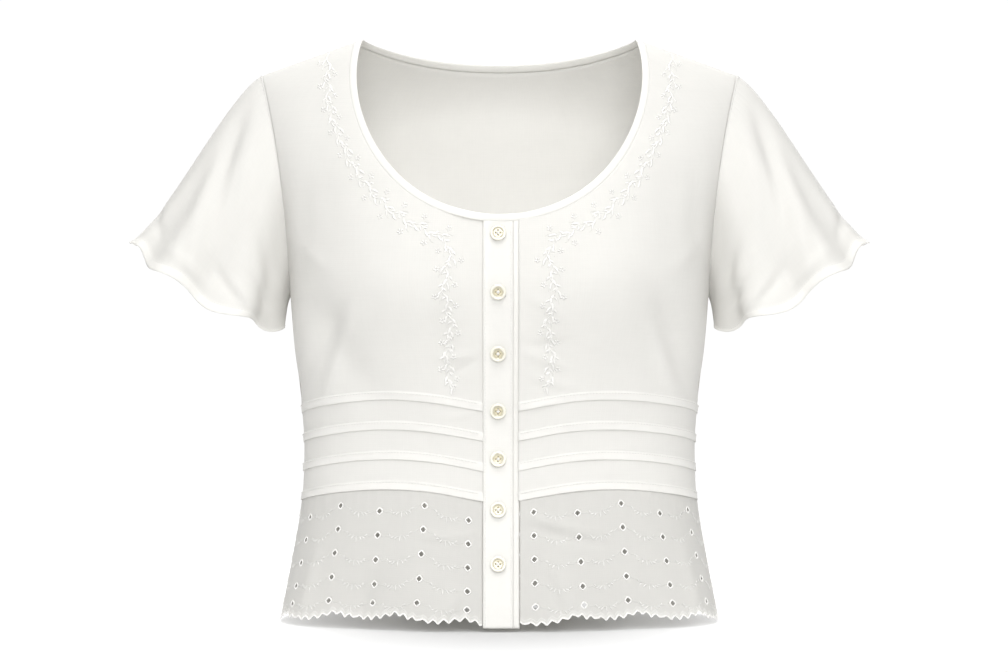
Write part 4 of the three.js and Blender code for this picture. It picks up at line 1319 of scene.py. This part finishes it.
def vine_bundles(side):
    """A waving stem with leaves, and with flowers and curls on alternate sides."""
    line = vine_line()
    heading = np.arctan2(*np.gradient(line, axis=0).T[::-1])
    aside = np.stack([-np.sin(heading), np.cos(heading)], -1)
    stem = line + aside * (2.0 * np.sin(np.arange(len(line)) * 0.34))[:, None]

    def surface(x, z):
        return front_surface(side * x, z)

    bundles = [sweep(*surface(*stem.T[:, None]), 0.42, 0.26)]
    t = np.linspace(0, 1, 9)
    for first, away, lean, length, half in VINE_LEAVES:
        at = np.arange(first, len(line) - 4, 10)
        x, z = stem[at].T[:, :, None]
        angle = (heading[at] + away * lean)[:, None] - away * 0.55 * t
        leaves = x + length * t * np.cos(angle), z + length * t * np.sin(angle)
        bundles.append(leaf_sweep(surface, *leaves, half, 0.27))
    for first, away in ((10, 1), (20, -1)):
        at = np.arange(first, len(line) - 6, 20)
        x, z = np.repeat(stem[at] + aside[at] * away * 7.6, 5, axis=0).T[:, :, None]
        angle = (heading[at][:, None] + np.linspace(0, TURN, 5, endpoint=False)).reshape(-1, 1)
        t = 2.7 * np.linspace(0.12, 1, 7)
        bundles.append(leaf_sweep(surface, x + t * np.cos(angle), z + t * np.sin(angle), 0.85, 0.33))
        swing = heading[at][:, None] + away * (1.3 - 0.9 * np.linspace(0, 1.5, 12))
        x, z = stem[at].T[:, :, None]
        curl = x + np.cumsum(np.cos(swing), 1) * 0.72, z + np.cumsum(np.sin(swing), 1) * 0.72
        bundles.append(sweep(*surface(*curl), 0.26, 0.26, sides=5))
    return bundles


make_thread("vine_left", vine_bundles(1), soft_thread)
make_thread("vine_right", vine_bundles(-1), soft_thread)

# %% [markdown]
# ## Seams and topstitching
#
# Rows of small stitches hold the tucks, the upper placket and the sleeve hems. Each stitch is a short
# bundle of thread that dips into the cloth at both ends.

# %% Stitches
def tuck_stitches(first, last, behind):
    """Rows near the top of each flap, between two angles."""

    def surface(angle, height):
        drop = drop_at(angle, height + lift_at(angle, height))
        out = 0.98 * (1 + flap_ripple(angle, height))
        return on_cloth(angle, drop, out, behind), body_normal(angle, drop)

    angle = np.linspace(first, last, 240)
    return [stitch_row(surface, angle, edge + TUCK_WIDTH - 1.2) for edge in TUCK_EDGES]


def placket_stitches(x):
    z = np.linspace(PLACKET_BOTTOM + 2, NECK_FRONT - 8, 300)
    return stitch_row(lambda across, height: front_surface(across, height, 1.75), x, z)


def sleeve_stitches(side):
    def surface(around, along):
        points = on_sleeve(around, along, 0.2)
        ahead = on_sleeve(around + 0.01, along, 0.2) - points
        down = points - on_sleeve(around, along - 0.01, 0.2)
        return points * (side, 1, 1), unit(np.cross(ahead, down)) * (side, 1, 1)

    return stitch_row(surface, np.linspace(0, TURN, 500), SLEEVE_HEM)


make_thread("tuck_stitches_left", tuck_stitches(0.17, QUARTER - 0.01, False))
make_thread("tuck_stitches_right", tuck_stitches(-QUARTER + 0.01, -0.15, False))
make_thread("tuck_stitches_back", tuck_stitches(QUARTER + 0.01, 3 * QUARTER - 0.01, True))
make_thread("placket_stitches", [placket_stitches(x) for x in (PLACKET_OVER[0] + 2, PLACKET_OVER[1] - 2)])
make_thread("sleeve_stitches_left", [sleeve_stitches(1)])
make_thread("sleeve_stitches_right", [sleeve_stitches(-1)])

# %% [markdown]
# ## Pearl buttons
#
# The buttons look like mother-of-pearl: a domed rim, a dished middle and four small holes, with the
# sewing thread crossing between them. A button is a disc in rings and spokes whose height depends on
# the distance from the middle, with the holes pressed into it.

# %% Button
HOLE_CIRCLE, HOLE_RADIUS, HOLE_DEPTH = 1.7, 0.72, 1.35
SPOKES = 72
BUTTON_X = -1.0
BUTTON_HEIGHTS = (-153.5, -201, -251, -298, -337.5, -379, -423)
# Pearl tone by the distance from the middle. The darker olive ring and golden middle are also painted shade
# where the dish sinks inside the rim.
PEARL_AND_PAINTED_SHADE_COLOURS = (
    (0.08, (0.60, 0.50, 0.28)),
    (0.3, (0.66, 0.60, 0.42)),
    (0.5, (0.44, 0.41, 0.30)),
    (0.62, (0.52, 0.49, 0.38)),
    (0.74, (0.76, 0.73, 0.64)),
    (0.96, (0.70, 0.68, 0.59)),
)


def pearl_finish():
    """Mother of pearl: a cream rim, an olive ring inside it and a golden middle, all a little cloudy. The
    olive ring and the golden middle are partly pearl tone and partly painted shade in the dished recess.
    """
    finish = Finish("pearl")
    place = finish.object_place()
    cloud = finish.noise(place, 260.0, 3.0, 1.2)
    layers = finish.wave(place, {"wave_type": "RINGS"}, 55.0, 9.0)
    radius = finish.vector("LENGTH", finish.flat_map(), {}, output=1)
    share = radius * 15.0 + (cloud - 0.5) * 0.35 + (layers - 0.5) * 0.06
    return finish.principled(
        Base_Color=finish.ramp(share, PEARL_AND_PAINTED_SHADE_COLOURS),
        Roughness=0.22 + cloud * 0.14,
        Coat_Weight=0.6,
        Coat_Roughness=0.08,
        Normal=finish.bump(layers, 0.1, 0.0003),
    )


pearl = pearl_finish()


def button_profile():
    """Radius and height of the button's outline from the middle of its back round to its front."""
    rim = [(0.0, 0.0), (3.0, 0.0), (5.4, 0.0), (6.1, 0.25), (6.5, 0.75), (6.6, 1.25), (6.52, 1.8)]
    rim += [(6.2, 2.3), (5.7, 2.55), (5.1, 2.55), (4.6, 2.3), (4.2, 1.95), (3.8, 1.72)]
    dish = [(r, 1.6 + 0.008 * r * r) for r in np.arange(3.4, 0.05, -0.17)] + [(0.0, 1.6)]
    return np.array(rim + dish), len(rim)


def button_net():
    """Rings of points at each radius. In the dish, a point inside a hole is pressed down."""
    profile, dish_start = button_profile()
    turn = np.linspace(0, TURN, SPOKES, endpoint=False)
    radius, height = profile.T[:, :, None]
    x, y, z = np.broadcast_arrays(radius * np.cos(turn), radius * np.sin(turn), height)
    in_dish = np.arange(len(profile))[:, None] >= dish_start
    for way in np.arange(4) * QUARTER:
        gap = np.hypot(x - HOLE_CIRCLE * np.cos(way), y - HOLE_CIRCLE * np.sin(way))
        pressed = smoothstep(gap, HOLE_RADIUS + 0.12, HOLE_RADIUS - 0.12)
        z = np.where(in_dish, z - HOLE_DEPTH * pressed, z)
    points = np.stack([x, y, z], -1)
    faces = net_faces(net_numbers(points), closed=True)[SPOKES:, ::-1]
    return points.reshape(-1, 3), faces.tolist()


def button_frame(height):
    """Place and directions of a button on the placket."""
    place, normal = front_surface(np.array([BUTTON_X]), np.array([height]), 2.25)
    aside = unit(np.cross([0, 0, 1.0], normal[0]))
    return place[0], np.stack([aside, np.cross(normal[0], aside), normal[0]])


def make_button(number, height):
    points, faces = button_net()
    place, ways = button_frame(height)
    mesh = make_mesh(f"button_{number}_pearl", points @ ways + place, faces, points[:, :2])
    piece = link(mesh, pearl)
    weld = piece.modifiers.new("poles", "WELD")
    weld.merge_threshold = 0.00001
    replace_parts(piece, f"button_{number}")


def button_threads(height):
    """Two pairs of threads that cross between opposite holes."""
    place, ways = button_frame(height)
    t = np.linspace(-1, 1, 11)[:, None]
    lines = []
    for number, way in enumerate((0, QUARTER)):
        direction = np.array([np.cos(way), np.sin(way)])
        high = 1.65 + 0.42 * (1 - np.abs(t) ** 6) - 1.0 * np.abs(t) ** 6 + 0.12 * number
        for off in (-0.26, 0.26):
            aside = np.array([-direction[1], direction[0]]) * off
            lines.append(np.hstack([direction * HOLE_CIRCLE * t * 1.05 + aside, high]) @ ways + place)
    lines = np.array(lines)
    return sweep(lines, np.broadcast_to(ways[2], lines.shape), 0.26, 0.26)


for number, height in enumerate(BUTTON_HEIGHTS, 1):
    make_button(number, height)

# %% Armhole seams and button threads
for side, place in (("left", 1), ("right", -1)):
    cord = sweep(*armhole_cord(place), 1.2, 0.8, sides=8, closed=True)
    make_thread(f"armhole_{side}_cord", [cord], cotton)
make_thread("button_threads", [button_threads(height) for height in BUTTON_HEIGHTS])

# %% [markdown]

# %% [markdown]
# ## Light
#
# A catalogue picture of white cloth on white needs shape without hard shadows. One large light near the
# camera gives the bright front and lets the sides fall away. A weak sky fills them, and a light behind
# brightens the inside of the back. The backdrop stands far off, so it hides nothing from behind. The
# floor's glow is painted light. It grows away from the blouse and washes out the shadows cast there,
# and it stays low close under the hem, where it paints a soft shadow over the cast one.

# %% Floor, backdrop and lights
FLOOR, FLOOR_FRONT, FLOOR_END, FLOOR_HALF = -0.4776, -0.4, 1.6, 1
BACKDROP, BACKDROP_HALF, BACKDROP_BOTTOM, BACKDROP_TOP = 3.2, 2.1, -1.4, 1.2
PAINTED_SHADOW_REACH = (0.195, 0.36)
# Painted shadow: with the grey base, the low glow close to the blouse makes the floor look shaded under the
# hem.
PAINTED_SHADOW_GLOW = ((0.27, 0), (0.45, 0.1), (0.75, 0.3), (0.95, 0.54))


def backdrop_finish():
    """Paper that takes no light and glows evenly."""
    finish = Finish("backdrop_white")
    return finish.principled(
        Base_Color=(0, 0, 0, 1), Roughness=1.0, Emission_Color=(1, 1, 1, 1), Emission_Strength=1.02
    )


def floor_finish():
    """White paper whose glow grows with the distance from the blouse: a painted shadow near the hem, and
    painted light that hides the cast shadows further off.
    """
    finish = Finish("floor_painted_shadow")
    scale = (1 / PAINTED_SHADOW_REACH[0], 1 / PAINTED_SHADOW_REACH[1], 0)
    scaled = finish.vector("MULTIPLY", finish.object_place(), {1: scale})
    far = finish.vector("LENGTH", scaled, {}, output=1)
    # Painted shadow and painted light: the glow grows with the distance from the blouse.
    glow = finish.ramp(far, [(position, (grey,) * 3) for position, grey in PAINTED_SHADOW_GLOW])
    return finish.principled(
        Base_Color=(0.57, 0.57, 0.57, 1), Roughness=1.0, Emission_Color=glow, Emission_Strength=1.0
    )


def stage_plane(name, low, high, material):
    """A plane between two opposite corners, with its lower edge along X."""
    mesh = bpy.data.meshes.new(name)
    mesh.from_pydata([low, (high[0], *low[1:]), high, (low[0], *high[1:])], [], [(0, 1, 2, 3)])
    mesh.materials.append(material)
    plane = bpy.data.objects.new(name, mesh)
    bpy.context.scene.collection.objects.link(plane)
    plane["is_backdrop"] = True


stage_plane("floor", (-FLOOR_HALF, FLOOR_FRONT, FLOOR), (FLOOR_HALF, FLOOR_END, FLOOR), floor_finish())
stage_plane(
    "backdrop",
    (-BACKDROP_HALF, BACKDROP, BACKDROP_BOTTOM),
    (BACKDROP_HALF, BACKDROP, BACKDROP_TOP),
    backdrop_finish(),
)

SKY_STRENGTH = 0.46
world = bpy.data.worlds.new("studio")
bpy.context.scene.world = world
world.use_nodes = True
sky = world.node_tree.nodes["Background"].inputs
sky[0].default_value = (1, 1, 1, 1)
sky[1].default_value = SKY_STRENGTH


def area_light(name, place, aim, size, power):
    """A round light that looks from its place to its aim."""
    data = bpy.data.lights.new(name, "AREA")
    data.shape = "DISK"
    data.size = size
    data.energy = power
    light = bpy.data.objects.new(name, data)
    light.location = place
    x, y, z = np.array(aim, float) - np.array(place, float)
    light.rotation_euler = (np.arctan2(np.hypot(x, y), -z), 0, np.arctan2(x, -y) + np.pi)
    bpy.context.scene.collection.objects.link(light)


area_light("key", (0.1, -2.3, 0.35), (0, 0, -0.25), 1.1, 36)
area_light("above", (0, -1.2, 1.6), (0, 0, -0.2), 1.2, 25)
area_light("side_left", (2.0, -0.6, 0.0), (0, 0, -0.25), 1.2, 3)
area_light("side_right", (-2.0, -0.6, 0.0), (0, 0, -0.25), 1.2, 3)
area_light("behind", (0, 0.8, 0.95), (0, 0, -0.1), 0.9, 14)
bpy.context.scene.view_settings.view_transform = "Standard"
bpy.context.scene.view_settings.look = "None"

# %% Finish
dressed_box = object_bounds()
for corner, solid_corner in zip(dressed_box, solids_box):
    print([round(a * 1000, 1) for a in corner], [round(a * 1000, 1) for a in solid_corner])
